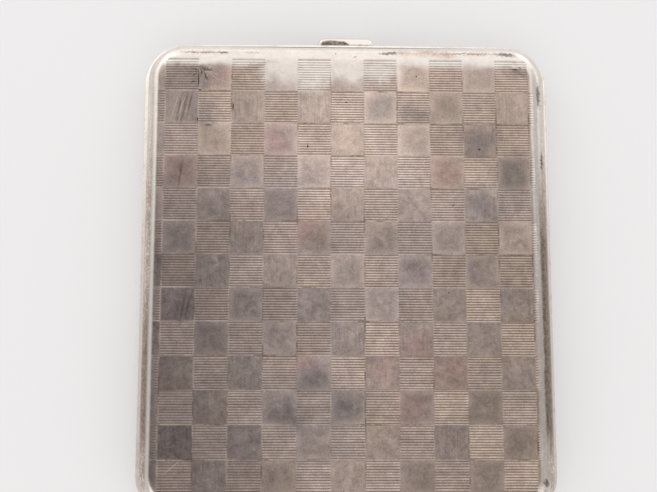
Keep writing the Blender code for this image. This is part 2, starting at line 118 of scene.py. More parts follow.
def linear(hex_colour):
    """An sRGB hex colour as the linear RGBA that shaders take."""
    parts = [int(hex_colour[i:i + 2], 16) / 255 for i in (1, 3, 5)]
    return tuple(c / 12.92 if c <= 0.04045 else ((c + 0.055) / 1.055) ** 2.4 for c in parts) + (1.0,)


class CaseShape(bpy.types.PropertyGroup):
    """Sizes of the pressed pans and of what is fitted to them."""

    corner_radius: FloatProperty(
        name="Corner radius", description="Radius of the case's corners, seen from above",
        default=7.6 * MM, unit="LENGTH",
    )
    roll_radius: FloatProperty(
        name="Roll radius", description="Radius of the rolled edge between a pan's face and its wall",
        default=3.6 * MM, unit="LENGTH",
    )
    sheet: FloatProperty(
        name="Sheet", description="Thickness of the silver sheet", default=0.7 * MM, unit="LENGTH"
    )
    lip: FloatProperty(
        name="Lip rounding", description="Rounding of a pan's mouth", default=0.1 * MM, unit="LENGTH"
    )
    crown_width: FloatProperty(
        name="Crown width", description="How far in from the outline a face starts to fall away",
        default=7.5 * MM, unit="LENGTH",
    )
    crown_drop: FloatProperty(
        name="Crown drop", description="How far a face has fallen where its rolled edge starts",
        default=0.1 * MM, unit="LENGTH",
    )
    waviness: FloatProperty(
        name="Waviness", description="Height of the hand-flattened face's slow waves",
        default=0.03 * MM, unit="LENGTH",
    )
    square: FloatProperty(
        name="Square", description="Side of one square of the chequer", default=6.565 * MM, unit="LENGTH"
    )
    groove_depth: FloatProperty(
        name="Groove depth", description="Depth of an engine-turned groove",
        default=0.06 * MM, unit="LENGTH",
    )
    run_out: FloatProperty(
        name="Run-out", description="How far a groove takes to end at a square's side",
        default=0.1 * MM, unit="LENGTH",
    )
    outline_step: FloatProperty(
        name="Outline step", description="Distance between the points of the outline's straight sides",
        default=1.5 * MM, unit="LENGTH",
    )
    corner_steps: IntProperty(name="Corner steps", description="Facets round one corner", default=20)
    tube_sides: IntProperty(name="Tube sides", description="Facets round a tube or a rivet", default=40)
    solder_gap: FloatProperty(
        name="Solder line", description="Width of the line that shows where two pieces are soldered",
        default=0.02 * MM, unit="LENGTH",
    )
    strap_ribs: IntProperty(
        name="Strap ribs", description="Rubber-cored cords across the elastic strap", default=10
    )
    strap_thickness: FloatProperty(
        name="Strap thickness", description="Thickness of the elastic strap", default=0.6 * MM,
        unit="LENGTH",
    )


class CaseFinish(bpy.types.PropertyGroup):
    """Colours of the metals, the dirt on them and the strap."""

    clean_silver: FloatVectorProperty(
        name="Clean silver", description="Silver where handling keeps it bright",
        default=linear("#F1E9E1"), **COLOUR,
    )
    frame_silver: FloatVectorProperty(
        name="Frame silver", description="Silver of the wire frames, bright all round",
        default=linear("#FAF1E8"), **COLOUR,
    )
    plain_warm: FloatVectorProperty(
        name="Warm plain square", description="Tarnished silver of the warmer plain squares",
        default=linear("#B09D91"), **COLOUR,
    )
    plain_cool: FloatVectorProperty(
        name="Cool plain square", description="Tarnished silver of the cooler plain squares",
        default=linear("#A49591"), **COLOUR,
    )
    ridge: FloatVectorProperty(
        name="Ridge", description="Silver on the ridges between grooves, rubbed lighter",
        default=linear("#C6B6A9"), **COLOUR,
    )
    groove: FloatVectorProperty(
        name="Groove", description="Tarnish and dirt in the grooves", default=linear("#77675B"), **COLOUR
    )
    tarnish: FloatVectorProperty(
        name="Tarnish", description="Heavy brown-grey tarnish", default=linear("#9C887A"), **COLOUR
    )
    sulphide: FloatVectorProperty(
        name="Sulphide bloom", description="Dark bluish patches on the face",
        default=linear("#76706F"), **COLOUR,
    )
    amber_stain: FloatVectorProperty(
        name="Amber stain", description="Thin brown stain on the front roll",
        default=linear("#BC9272"), **COLOUR,
    )
    dirt: FloatVectorProperty(
        name="Dirt", description="Dark dirt in corners and along seams", default=linear("#4A3E37"), **COLOUR
    )
    copper_bloom: FloatVectorProperty(
        name="Copper bloom", description="Pink stain where the alloy's copper shows",
        default=linear("#AE8F87"), **COLOUR,
    )
    gilt: FloatVectorProperty(
        name="Gilt", description="Thin gold wash inside", default=linear("#DBBD84"), **COLOUR
    )
    nickel: FloatVectorProperty(
        name="Nickel silver", description="Hard-rolled spring strip and hinge pin",
        default=linear("#BDB5A4"), **COLOUR,
    )
    elastic: FloatVectorProperty(
        name="Elastic", description="Old-gold yarn over the elastic strap's cords",
        default=linear("#C4A672"), **COLOUR,
    )
    thread: FloatVectorProperty(
        name="Thread", description="Sewing thread at the strap's folds", default=linear("#8C6E42"), **COLOUR
    )


class CaseStage(bpy.types.PropertyGroup):
    """The table, the lamps and the camera."""

    lens: FloatProperty(
        name="Lens", description="Focal length on a 36 mm sensor", default=66.8, unit="CAMERA"
    )
    camera_place: FloatVectorProperty(
        name="Camera place", description="Where the photograph was taken from",
        default=(-10.4 * MM, -35.6 * MM, 243.6 * MM), subtype="TRANSLATION",
    )
    camera_aim: FloatVectorProperty(
        name="Camera aim", description="Where the photograph's middle meets the lid's face",
        default=(-3.76 * MM, 4.89 * MM, 10.0 * MM), subtype="TRANSLATION",
    )
    paper: FloatVectorProperty(
        name="Paper", description="Pale paper under the case", default=linear("#F4F2F2"), **COLOUR
    )
    shadow_fill: FloatProperty(
        name="Shadow fill", description="Share of the paper's own colour in what the eye sees of it",
        default=0.35, min=0, max=1,
    )
    sky: FloatProperty(
        name="Room light", description="Strength of the even light from all round", default=0.56
    )
    far_lamp: FloatProperty(
        name="Far lamps", description="Brightness that the lamps beyond the push bar and on the left add",
        default=0.55,
    )
    near_lamp: FloatProperty(
        name="Near lamp", description="Brightness that the lamp behind the hinge adds", default=0.75
    )
    right_lamp: FloatProperty(
        name="Right lamp", description="Brightness that the low lamp on the right adds", default=0.6
    )


# Materials


def feed(tree, socket, value):
    """Give an input a value, a socket's output or a node's first output."""
    if isinstance(value, bpy.types.Node):
        value = next(output for output in value.outputs if output.enabled)
    if isinstance(value, bpy.types.NodeSocket):
        tree.links.new(value, socket)
    else:
        socket.default_value = value


def add_node(tree, kind, inputs=(), **settings):
    """Add a node with its settings and what feeds its inputs, listed in order or by name or number.

    In order, a map range takes its value, the two ends that it comes from and the two that it goes to.
    """
    node = tree.nodes.new(kind)
    for name, value in settings.items():
        setattr(node, name, value)
    for name, value in inputs.items() if isinstance(inputs, dict) else enumerate(inputs):
        named = [socket for socket in node.inputs if socket.enabled and socket.name == name]
        feed(tree, named[0] if named else node.inputs[name], value)
    return node


def new_finish(name):
    """An empty material: its adder of nodes, its shader's setter, and its place in millimetres."""
    material = bpy.data.materials.new(name)
    material.use_nodes = True
    tree = material.node_tree
    shader = tree.nodes["Principled BSDF"]
    add = partial(add_node, tree)

    def set_shader(**inputs):
        for key, value in inputs.items():
            feed(tree, shader.inputs[key.replace("_", " ")], value)

    place = add("ShaderNodeTexCoord").outputs["Object"]
    scaled = add("ShaderNodeVectorMath", {0: place, "Scale": 1 / MM}, operation="SCALE")
    return material, add, set_shader, scaled


# Marks on the lid: place in squares from the front left corner, half width and height in mm, and turn
# in degrees. Those of the edge lie on the front roll and at the right
COPPER_PATCHES = (
    (4.3, 5.3, 3.0, 2.6, 20), (7.5, 8.7, 3.4, 2.4, -10), (8.6, 9.5, 3.0, 3.4, 30), (7.4, 10.5, 3.4, 3.0, 0),
    (6.6, 9.4, 3.0, 2.4, 40), (4.2, 9.25, 2.6, 2.0, 0), (8.4, 3.5, 3.2, 3.6, 10), (1.7, 0.6, 3.0, 1.8, 0),
    (0.5, 3.5, 3.0, 3.0, 0), (3.3, 2.5, 3.0, 3.0, 0),
)
DARK_PATCHES = (
    (3.75, 10.75, 3.0, 2.4, 0), (4.6, 9.7, 3.4, 2.2, 0), (5.4, 10.5, 4.4, 3.2, 25), (9.5, 2.5, 3.6, 3.6, 0),
    (10.5, 3.6, 3.8, 4.2, 0), (0.95, 0.6, 1.8, 3.0, 30), (1.2, 1.7, 3.0, 2.4, 0), (7.5, 1.75, 3.2, 1.8, 0),
    (10.7, 0.3, 3.0, 1.0, -12), (9.5, 4.5, 3.4, 3.4, 0), (6.5, 1.5, 3.3, 3.3, 0),
)
# Patches by the push bar painted bright: a painted highlight of the lamp beyond it, over rubbed silver
RUBBED_AND_HIGHLIT_PATCHES = (
    (3.6, 0.35, 4.2, 2.8, 0), (5.6, 0.3, 5.0, 2.6, 0), (4.5, 0.4, 4.6, 3.2, 0), (2.5, 0.0, 4.0, 1.0, 0),
    (6.5, 0.3, 3.6, 2.4, 0),
)
EDGE_DIRT = (
    (6.76, -0.24, 1.8, 0.3, 4), (10.34, -0.22, 2.0, 0.4, -6), (0.82, -0.21, 0.3, 0.35, 0),
    (1.74, -0.21, 0.9, 0.2, 0), (0.7, -0.22, 1.4, 0.07, 0), (1.3, -0.2, 2.4, 0.06, 0),
    (2.6, -0.22, 1.5, 0.06, 0), (9.0, -0.24, 5.0, 0.08, 0), (11.32, 1.05, 0.35, 2.2, 0),
    (5.75, -0.1, 0.25, 0.15, 0), (5.15, -0.2, 0.14, 0.14, 0), (11.23, 12.66, 0.5, 0.65, 20),
    (11.38, 3.1, 0.3, 1.6, 0),
)
DIRT_DOTS = (
    (9.48, 2.78, 0.22, 0.2, 0), (8.66, 4.5, 0.2, 0.14, 0), (4.3, 2.72, 0.14, 0.28, 0),
    (5.46, 1.34, 0.16, 0.16, 0), (7.6, 0.5, 0.16, 0.12, 0), (2.05, 1.5, 0.12, 0.8, 0),
    (1.3, 2.08, 0.8, 0.1, 0), (4.98, 0.6, 0.08, 1.6, 0), (1.0, 0.62, 0.13, 1.9, 0),
    (1.04, 0.98, 0.3, 0.12, 0), (0.98, 1.9, 0.12, 0.4, 0), (10.62, 0.26, 0.5, 0.2, -8),
    (10.78, 0.2, 0.24, 0.2, 0),
)
EDGE_STAINS = (
    (8.0, -0.24, 3.0, 0.7, 0), (8.5, -0.2, 1.8, 0.75, 0), (7.2, -0.25, 1.6, 0.5, 0),
    (8.2, -0.22, 2.2, 0.45, 0), (1.2, -0.22, 3.4, 0.3, 0), (9.5, -0.24, 3.0, 0.35, 0),
    (8.45, -0.17, 0.8, 0.4, 20),
)
BRUSH_STROKES = (
    (0.58, 1.55, 0.3, 2.8, -12), (0.42, 1.6, 0.22, 2.4, -9), (0.75, 1.4, 0.2, 2.2, -12),
    (0.5, 3.6, 0.2, 2.6, -8), (0.65, 7.6, 0.24, 2.4, -10), (0.82, 7.5, 0.18, 2.2, -14),
)
DENT_RAYS = (
    (1.26, 0.34, 1.3, 0.14, -14), (1.18, 0.48, 0.14, 1.2, 24), (1.0, 0.24, 0.9, 0.22, -38),
    (1.32, 0.2, 1.1, 0.1, 8), (1.08, 0.42, 0.14, 0.9, -6), (1.14, 0.3, 0.8, 0.4, -20),
    (0.86, 0.5, 0.5, 0.14, 30), (0.9, 0.34, 0.6, 0.12, -10), (0.84, 0.72, 0.4, 0.12, 10),
)
SCRATCHES = (
    (2.85, 3.5, 2.2, 0.07, 40), (7.0, 5.55, 1.0, 0.06, 35), (8.45, 7.0, 1.2, 0.06, 48),
    (0.45, 12.2, 2.0, 0.07, 40), (8.4, 12.5, 2.2, 0.06, 18), (0.3, 1.5, 2.6, 0.09, 74),
    (0.5, 1.5, 2.4, 0.09, 70), (1.45, 0.55, 1.6, 0.06, -38), (1.75, 0.7, 1.8, 0.06, -20),
)
# Half a mark's height in mm, so great that how high a place lies doesn't count
MARK_HEIGHT = 1000


def marked_places(add, place, shape, marks, soft):
    """Where listed marks lie: 1 inside them and 0 outside, over a soft edge."""
    total = 0.0
    square = shape.square / MM
    for u, v, half_x, half_y, turn in marks:
        middle = ((u - SQUARES_ACROSS / 2) * square, (SQUARES_ALONG / 2 - v) * square, 0)
        own = add(
            "ShaderNodeMapping",
            {"Vector": place, "Location": middle, "Rotation": (0, 0, math.radians(turn)),
             "Scale": (half_x, half_y, MARK_HEIGHT)},
            vector_type="TEXTURE",
        )
        length = add("ShaderNodeVectorMath", (own,), operation="LENGTH").outputs["Value"]
        inside = add("ShaderNodeMapRange", (length, 1 + soft, 1 - soft), interpolation_type="SMOOTHSTEP")
        total = add("ShaderNodeMath", (total, inside), operation="MAXIMUM")
    return total


def chequer_guides(add, place, shape):
    """What the engine-turned silver's looks follow at a place. Lengths are in millimetres."""
    at = SimpleNamespace(place=place)
    at.x, at.y, at.z = add("ShaderNodeSeparateXYZ", (place,)).outputs
    for name in ("lined", "groove", "inset"):
        setattr(at, name, add("ShaderNodeAttribute", attribute_name=name).outputs["Fac"])
    at.plain = add("ShaderNodeMath", (1.0, at.lined), operation="SUBTRACT")
    # The lid's pan lies above the hinge's pin and the base's below it
    at.on_lid = add("ShaderNodeMath", (at.z, HINGE.z / MM), operation="GREATER_THAN")
    at.across = add("ShaderNodeMath", (at.x,), operation="ABSOLUTE")

    # Which square a place lies in, three random numbers for it, and the distance from its sides
    square = shape.square / MM
    squares = add(
        "ShaderNodeVectorMath",
        (place, (1 / square, 1 / square, 0), (SQUARES_ACROSS / 2, SQUARES_ALONG / 2, 0)),
        operation="MULTIPLY_ADD",
    )
    cell = add("ShaderNodeVectorMath", (squares,), operation="FLOOR")
    each = add("ShaderNodeTexWhiteNoise", {"Vector": cell}, noise_dimensions="2D").outputs["Color"]
    at.own_shade, at.own_warmth, at.own_wear = add("ShaderNodeSeparateXYZ", (each,)).outputs
    within = add("ShaderNodeVectorMath", (squares,), operation="FRACTION")
    within = add("ShaderNodeVectorMath", (within, (0.5, 0.5, 0)), operation="SUBTRACT")
    within = add("ShaderNodeVectorMath", (within,), operation="ABSOLUTE")
    within = add("ShaderNodeSeparateXYZ", (within,)).outputs
    from_middle = add("ShaderNodeMath", (within[0], within[1]), operation="MAXIMUM")
    at.from_side = add("ShaderNodeMath", (from_middle, -square, square / 2), operation="MULTIPLY_ADD")
    return at


def add_patterns(add, at):
    """Give the guides the silver's patterns, each as wide as its row says in millimetres."""
    # Patches are read far from the blotches, so that the two differ
    elsewhere = add("ShaderNodeVectorMath", (at.place, (57, 31, 0)))
    # Wiping streaks are 0.35 mm by 5 mm, and tarnish along the sides runs in streaks of 0.7 mm by 3 mm
    wiped = add("ShaderNodeVectorMath", (at.place, (1 / 0.35, 1 / 5, 0)), operation="MULTIPLY")
    along = add("ShaderNodeVectorMath", (at.place, (1 / 0.7, 1 / 3, 1 / 0.7)), operation="MULTIPLY")
    # Name, place, width, detail, roughness and distortion
    patterns = (
        ("blotch", at.place, 8, 3, 0.5, 0), ("patch", elsewhere, 5, 3, 0.5, 0),
        ("mottle", at.place, 1.5, 4, 0.6, 0.6), ("grain", at.place, 0.3, 2, 0.5, 0),
        ("flecks", at.place, 0.6, 4, 0.7, 0), ("hair", at.place, 2.2, 1, 0.5, 0.8),
        ("wiping", wiped, 1, 3, 0.5, 0), ("streaks", along, 1, 5, 0.65, 0.4),
        ("ragged", at.place, 3, 4, 0.5, 0), ("nicked", at.place, 0.5, 3, 0.5, 0),
    )
    for name, place, width, detail, roughness, distortion in patterns:
        setattr(at, name, add("ShaderNodeTexNoise", {
            "Vector": place, "Scale": 1 / width, "Detail": detail, "Roughness": roughness,
            "Distortion": distortion,
        }))
    at.wander = add("ShaderNodeMath", (at.patch, 3.5, -1.75), operation="MULTIPLY_ADD")
    # Places moved by up to so many millimetres, so that marks have ragged or nicked edges
    for name, reach in (("ragged", 3), ("nicked", 0.6)):
        moved = add(
            "ShaderNodeVectorMath",
            (getattr(at, name).outputs["Color"], (2 * reach, 2 * reach, 0), (-reach, -reach, 0)),
            operation="MULTIPLY_ADD",
        )
        setattr(at, name, add("ShaderNodeVectorMath", (at.place, moved)))


def add_marks(add, at, shape):
    """Give the guides the lid's listed marks."""
    amber_flecks = add("ShaderNodeMapRange", (at.flecks, 0.4, 0.62, 0.3, 0.85))
    # Name, marks, place, softness of their edges and strength
    kinds = (
        ("copper", COPPER_PATCHES, at.ragged, 0.7, 0.6), ("bruised", DARK_PATCHES, at.ragged, 0.8, 0.6),
        ("worn", RUBBED_AND_HIGHLIT_PATCHES, at.ragged, 0.6, 0.75), ("dots", DIRT_DOTS, at.place, 0.4, 1.0),
        ("strokes", BRUSH_STROKES, at.place, 0.9, 0.5), ("rays", DENT_RAYS, at.nicked, 0.7, 0.9),
        ("scratches", SCRATCHES, at.place, 0.35, 0.55), ("edge_dirt", EDGE_DIRT, at.nicked, 0.5, 0.75),
        ("amber", EDGE_STAINS, at.nicked, 0.8, amber_flecks),
    )
    for name, marks, place, soft, strength in kinds:
        share = marked_places(add, place, shape, marks, soft)
        share = add("ShaderNodeMath", (share, at.on_lid), operation="MULTIPLY")
        setattr(at, name, add("ShaderNodeMath", (share, strength), operation="MULTIPLY"))


def tarnish_warmth(add, at):
    """How warm the tarnish is: by square and blotch, and warmest at the front and by the hinge's right."""
    own = add("ShaderNodeMath", (at.own_warmth, 0.3, -0.15), operation="MULTIPLY_ADD")
    warmth = add("ShaderNodeMath", (at.blotch, 0.6, own), operation="MULTIPLY_ADD")
    warmth = add("ShaderNodeMath", (at.x, 0.003, warmth), operation="MULTIPLY_ADD")
    to_right = add("ShaderNodeMath", (at.x, at.y), operation="SUBTRACT")
    for place in ((at.y, 12, 24, 0.08, 0.3), (to_right, 10, 45, 0, 0.16)):
        part = add("ShaderNodeMapRange", place, interpolation_type="SMOOTHSTEP")
        warmth = add("ShaderNodeMath", (warmth, part))
    return add("ShaderNodeMapRange", (warmth, 0.3, 0.65))


def tarnish_shade(add, at):
    """How light the tarnished face is: by square, blotch, mottling and grain, and by place with painted shade
    and painted highlight.
    """
    off_mean = add("ShaderNodeMath", (at.own_shade, 0.5), operation="SUBTRACT")
    shade = add("ShaderNodeMath", (off_mean, 0.32, 1.0), operation="MULTIPLY_ADD")
    # Painted shade and light: the left third is painted darkest and the middle lightest, and the third by the
    # push bar is painted lighter as the reflection of the lamp beyond it. A row has the place and where it
    # starts and ends, then the lightness there
    places = ((at.x, -40, 4, 0.66, 1.2), (at.x, 6, 30, 1.0, 0.84), (at.y, 4, 27, 1.02, 1.32))
    # Lined squares are painted a third lighter: a painted reflection of the side lamps in their grooves'
    # slopes
    patterns = (
        (at.patch, 0.35, 0.65, 0.93, 1.08), (at.mottle, 0.3, 0.7, 0.8, 1.18),
        (at.grain, 0.3, 0.7, 0.87, 1.13), (at.lined, 0, 1, 1.0, 1.34),
    )
    factors = [add("ShaderNodeMapRange", row, interpolation_type="SMOOTHSTEP") for row in places]
    factors += [add("ShaderNodeMapRange", row) for row in patterns]
    # The corner to the right of the push bar is darker, and so is the one by the hinge on the left
    for in_x, in_y, darker in (((4, 18), (12, 26), -0.2), ((0, -20), (-16, -34), -0.12)):
        across = add("ShaderNodeMapRange", (at.x, *in_x), interpolation_type="SMOOTHSTEP")
        along = add("ShaderNodeMapRange", (at.y, *in_y), interpolation_type="SMOOTHSTEP")
        corner = add("ShaderNodeMath", (across, along), operation="MULTIPLY")
        factors.append(add("ShaderNodeMath", (corner, darker, 1.0), operation="MULTIPLY_ADD"))
    # In about half of the plain squares the sides are lighter: the tarnish is rubbed off them, and a
    # highlight is painted along their raised edges
    rim = add("ShaderNodeMath", (at.mottle, 3.0, -1.5), operation="MULTIPLY_ADD")
    rim = add("ShaderNodeMath", (at.from_side, rim))
    rim = add("ShaderNodeMapRange", (rim, 0.2, 1.5, 0.16, -0.06), interpolation_type="SMOOTHSTEP")
    rimmed = add("ShaderNodeMath", (at.own_wear, 0.55), operation="LESS_THAN")
    rimmed = add("ShaderNodeMath", (rimmed, at.plain), operation="MULTIPLY")
    factors.append(add("ShaderNodeMath", (rim, rimmed, 1.0), operation="MULTIPLY_ADD"))
    for factor in factors:
        shade = add("ShaderNodeMath", (shade, factor), operation="MULTIPLY")
    return shade


def tarnished_face(add, at, finish):
    """Colour of the face: tarnished squares that differ, with painted shade and light by place, and dirt in
    their grooves.
    """
    face = finish.plain_cool
    stains = (
        (tarnish_warmth(add, at), finish.plain_warm), (at.copper, finish.copper_bloom),
        (at.bruised, finish.sulphide),
    )
    for share, colour in stains:
        face = add("ShaderNodeMix", {"Factor": share, "A": face, "B": colour}, data_type="RGBA")
    shade = tarnish_shade(add, at)
    face = add("ShaderNodeVectorMath", {0: face, "Scale": shade}, operation="SCALE")
    # The grooves are darker and fuller nearer the hinge
    filled = add("ShaderNodeMapRange", (at.y, -10, 20, 0.94, 0.78))
    in_groove = add("ShaderNodeMath", (at.groove, filled), operation="MULTIPLY")
    darker = add("ShaderNodeMapRange", (at.y, -10, 20, 0.84, 1.0))
    dirt = add("ShaderNodeVectorMath", {0: finish.groove[:3], "Scale": darker}, operation="SCALE")
    face = add("ShaderNodeMix", {"Factor": in_groove, "A": face, "B": dirt}, data_type="RGBA")
    # Wiping streaks along Y on some plain squares
    wiped = add("ShaderNodeMapRange", (at.own_wear, 0.6, 0.9))
    wiped = add("ShaderNodeMath", (wiped, at.plain), operation="MULTIPLY")
    streak = add("ShaderNodeMapRange", (at.wiping, 0.3, 0.7, -0.15, 0.12))
    streak = add("ShaderNodeMath", (streak, wiped, 1.0), operation="MULTIPLY_ADD")
    return add("ShaderNodeVectorMath", {0: face, "Scale": streak}, operation="SCALE")


def marked_face(add, at, finish, face):
    """The face with its scratches, the lines at its squares' sides, partly painted highlight, and its dirt.
    """
    # Curved hairline scratches on the plain squares, coarser than real ones
    hair = add("ShaderNodeMath", (at.hair, 0.5), operation="SUBTRACT")
    hair = add("ShaderNodeMath", (hair,), operation="ABSOLUTE")
    hair = add("ShaderNodeMapRange", (hair, 0.014, 0.004, 0, 0.3))
    broken = add("ShaderNodeMapRange", (at.patch, 0.46, 0.56))
    for factor in (broken, at.plain):
        hair = add("ShaderNodeMath", (hair, factor), operation="MULTIPLY")
    # The squares' sides: a light line in places, rubbed and painted as a highlight on the raised edge, and a
    # line of dirt in others
    on_side = add("ShaderNodeMapRange", (at.from_side, 0.26, 0.08))
    light = add("ShaderNodeMapRange", (at.patch, 0.38, 0.58, 0, 0.5))
    light = add("ShaderNodeMath", (light, on_side), operation="MULTIPLY")
    dirty = add("ShaderNodeMapRange", (at.blotch, 0.46, 0.6))
    speckled = add("ShaderNodeMapRange", (at.mottle, 0.42, 0.58, 0, 0.6))
    for factor in (speckled, on_side):
        dirty = add("ShaderNodeMath", (dirty, factor), operation="MULTIPLY")
    # Pinhead spots of dirt about 5 mm apart, a fifth of which show
    spots = add("ShaderNodeTexVoronoi", {"Vector": at.place, "Scale": 1 / 5}).outputs
    spot = add("ShaderNodeMapRange", (spots["Distance"], 0.045, 0.025))
    chosen = add("ShaderNodeSeparateXYZ", (spots["Color"],)).outputs[0]
    chosen = add("ShaderNodeMath", (chosen, 0.8), operation="GREATER_THAN")
    spot = add("ShaderNodeMath", (spot, chosen), operation="MULTIPLY")
    for share in (spot, at.dots, at.strokes, at.rays):
        dirty = add("ShaderNodeMath", (dirty, share), operation="MAXIMUM")
    # The marked scratches are bright and about 0.15 mm wide, where real ones are 0.05 mm
    layers = ((hair, finish.ridge), (light, finish.ridge), (dirty, finish.dirt), (at.scratches, finish.ridge))
    for share, colour in layers:
        face = add("ShaderNodeMix", {"Factor": share, "A": face, "B": colour}, data_type="RGBA")
    return face


def rubbed_share(add, at, right_shift):
    """Where the edge's bright colour goes: the rolled edge, rubbed clean, and the face beside the push bar,
    rubbed and painted with the highlight of the lamp beyond it.
    """
    # The face's band beside the push bar is a painted highlight of the lamp beyond it, with a ragged edge
    front = add("ShaderNodeMath", (at.y, at.wander))
    front = add("ShaderNodeMapRange", (front, 40.6, 42.6, 0, 0.85), interpolation_type="SMOOTHSTEP")
    # The rubbed band is wider along the right side
    band = add("ShaderNodeMath", (at.inset, right_shift), operation="SUBTRACT")
    rubbed = add("ShaderNodeMapRange", (band, 2.5, 1.9), interpolation_type="SMOOTHSTEP")
    for share in (at.worn, front):
        rubbed = add("ShaderNodeMath", (rubbed, share), operation="MAXIMUM")
    return rubbed


def side_tarnish(add, at, right_shift):
    """How far tarnish and painted shade cover the rolled edge, and how dark they are."""
    side = add("ShaderNodeMapRange", (at.across, 38.0, 38.8), interpolation_type="SMOOTHSTEP")
    dulled = add("ShaderNodeMath", (right_shift, 0.4), operation="MULTIPLY")
    side = add("ShaderNodeMath", (side, dulled), operation="MAXIMUM")
    flecked = add("ShaderNodeMath", (at.flecks, 1.7, at.streaks), operation="MULTIPLY_ADD")
    stain = add("ShaderNodeMapRange", (flecked, 1.08, 1.5, 0.1, 1))
    # It is darker from the middle to the hinge, and ends before the corners there
    dark_tarnish_and_shade = add("ShaderNodeMapRange", (at.y, 0, -18, 0, 0.6), interpolation_type="SMOOTHSTEP")
    faded = add("ShaderNodeMapRange", (at.y, -36, -30, 0.1, 1))
    dark_tarnish_and_shade = add("ShaderNodeMath", (dark_tarnish_and_shade, faded), operation="MULTIPLY")
    stain = add("ShaderNodeMath", (stain, dark_tarnish_and_shade), operation="ADD", use_clamp=True)
    front_end = add("ShaderNodeMapRange", (at.y, 30, 14, 0.35, 0.95), interpolation_type="SMOOTHSTEP")
    for factor in (front_end, side):
        stain = add("ShaderNodeMath", (stain, factor), operation="MULTIPLY")
    # On the right side a dark band of streaked tarnish and painted shade, where the roll faces the darker
    # room, lies over the roll, faint towards the front
    off_middle = add("ShaderNodeMath", (at.inset, -1.25))
    off_middle = add("ShaderNodeMath", (off_middle,), operation="ABSOLUTE")
    band = add("ShaderNodeMath", (at.streaks, 0.9, -0.45), operation="MULTIPLY_ADD")
    band = add("ShaderNodeMath", (off_middle, band))
    band = add("ShaderNodeMapRange", (band, 1.25, 0.6))
    ragged_y = add("ShaderNodeMath", (at.y, at.wander))
    behind = add("ShaderNodeMapRange", (ragged_y, 24, 6, 0.2, 0.9))
    on_right = add("ShaderNodeMath", (at.x, 37), operation="GREATER_THAN")
    before_corner = add("ShaderNodeMath", (at.y, 38), operation="LESS_THAN")
    for factor in (behind, faded, on_right, before_corner):
        band = add("ShaderNodeMath", (band, factor), operation="MULTIPLY")
    return [add("ShaderNodeMath", (share, band), operation="MAXIMUM") for share in (stain, dark_tarnish_and_shade)]


def rolled_edge(add, at, finish, right_shift):
    """Colour of the rolled edge: bright, with streaked tarnish and painted shade along the sides, amber
    stains, dirt, and a dark line at the seam.
    """
    stain, dark_tarnish_and_shade = side_tarnish(add, at, right_shift)
    stained = add(
        "ShaderNodeMix", {"Factor": dark_tarnish_and_shade, "A": finish.tarnish, "B": finish.groove}, data_type="RGBA"
    )
    fleck = add("ShaderNodeMapRange", (at.flecks, 0.35, 0.65, 0.45, 1.6))
    stained = add("ShaderNodeVectorMath", {0: stained, "Scale": fleck}, operation="SCALE")
    clean = add("ShaderNodeMapRange", (at.mottle, 0.3, 0.7, 0.92, 1.05))
    edge = add("ShaderNodeVectorMath", {0: finish.clean_silver[:3], "Scale": clean}, operation="SCALE")
    # The roll is darkened at the seam beside the push bar, up to 26 mm to either side
    seam = add("ShaderNodeMapRange", (at.inset, 0.98, 0.84))
    by_bar = add("ShaderNodeMapRange", (at.across, 26, 8, 0, 0.7))
    at_front = add("ShaderNodeMath", (at.y, 44), operation="GREATER_THAN")
    for factor in (by_bar, at_front):
        seam = add("ShaderNodeMath", (seam, factor), operation="MULTIPLY")
    dirty = add("ShaderNodeMath", (at.edge_dirt, seam), operation="MAXIMUM")
    for share, colour in ((stain, stained), (at.amber, finish.amber_stain), (dirty, finish.dirt)):
        edge = add("ShaderNodeMix", {"Factor": share, "A": edge, "B": colour}, data_type="RGBA")
    return edge


def sterling_engine_turned(finish, shape):
    """Sterling silver, engine-turned and long unpolished.

    The eye sees matt, mottled grey-brown squares that differ from each other, with painted shade on the left
    and a painted highlight by the push bar, lined squares painted lighter over brown grooves, dirt and bright
    lines at the squares' sides that are partly painted highlight, and a rolled edge rubbed bright but for
    brown tarnish and painted shade along both sides.
    """
    material, add, set_shader, place = new_finish("sterling_engine_turned")
    at = chequer_guides(add, place, shape)
    add_patterns(add, at)
    add_marks(add, at, shape)
    face = marked_face(add, at, finish, tarnished_face(add, at, finish))
    # The rubbed band starts 1.1 mm further in along the right side
    right_shift = add("ShaderNodeMapRange", (at.x, 35.4, 36.0, 0, 1.1))
    # The rubbed edge and the painted highlight beside the push bar take the rolled edge's colour
    rubbed = rubbed_share(add, at, right_shift)
    edge = rolled_edge(add, at, finish, right_shift)
    colour = add("ShaderNodeMix", {"Factor": rubbed, "A": face, "B": edge}, data_type="RGBA")
    gloss = add("ShaderNodeMapRange", (at.mottle, 0.3, 0.7, 0.24, 0.34))
    gloss = add("ShaderNodeMix", {"Factor": rubbed, "A": gloss, "B": 0.27})
    bump = add("ShaderNodeBump", {"Strength": 0.25, "Distance": 0.01 * MM, "Height": at.grain})
    set_shader(Base_Color=colour, Roughness=gloss, Metallic=1.0, Normal=bump)
    return material


def sterling_rubbed(finish):
    """Sterling silver, planished and rubbed by the hand: bright and soft, with grey bloom in places."""
    material, add, set_shader, place = new_finish("sterling_rubbed")
    # Bloom about 3 mm across
    mottle = add("ShaderNodeTexNoise", {
        "Vector": place, "Scale": 1 / 3, "Detail": 5, "Roughness": 0.6, "Distortion": 0.2
    })
    bloom = add("ShaderNodeMapRange", (mottle, 0.45, 0.85, 0, 0.5), interpolation_type="SMOOTHSTEP")
    colour = add(
        "ShaderNodeMix", {"Factor": bloom, "A": finish.frame_silver, "B": finish.tarnish}, data_type="RGBA"
    )
    gloss = add("ShaderNodeMapRange", (mottle, 0, 1, 0.16, 0.32))
    set_shader(Base_Color=colour, Roughness=gloss, Metallic=1.0)
    return material


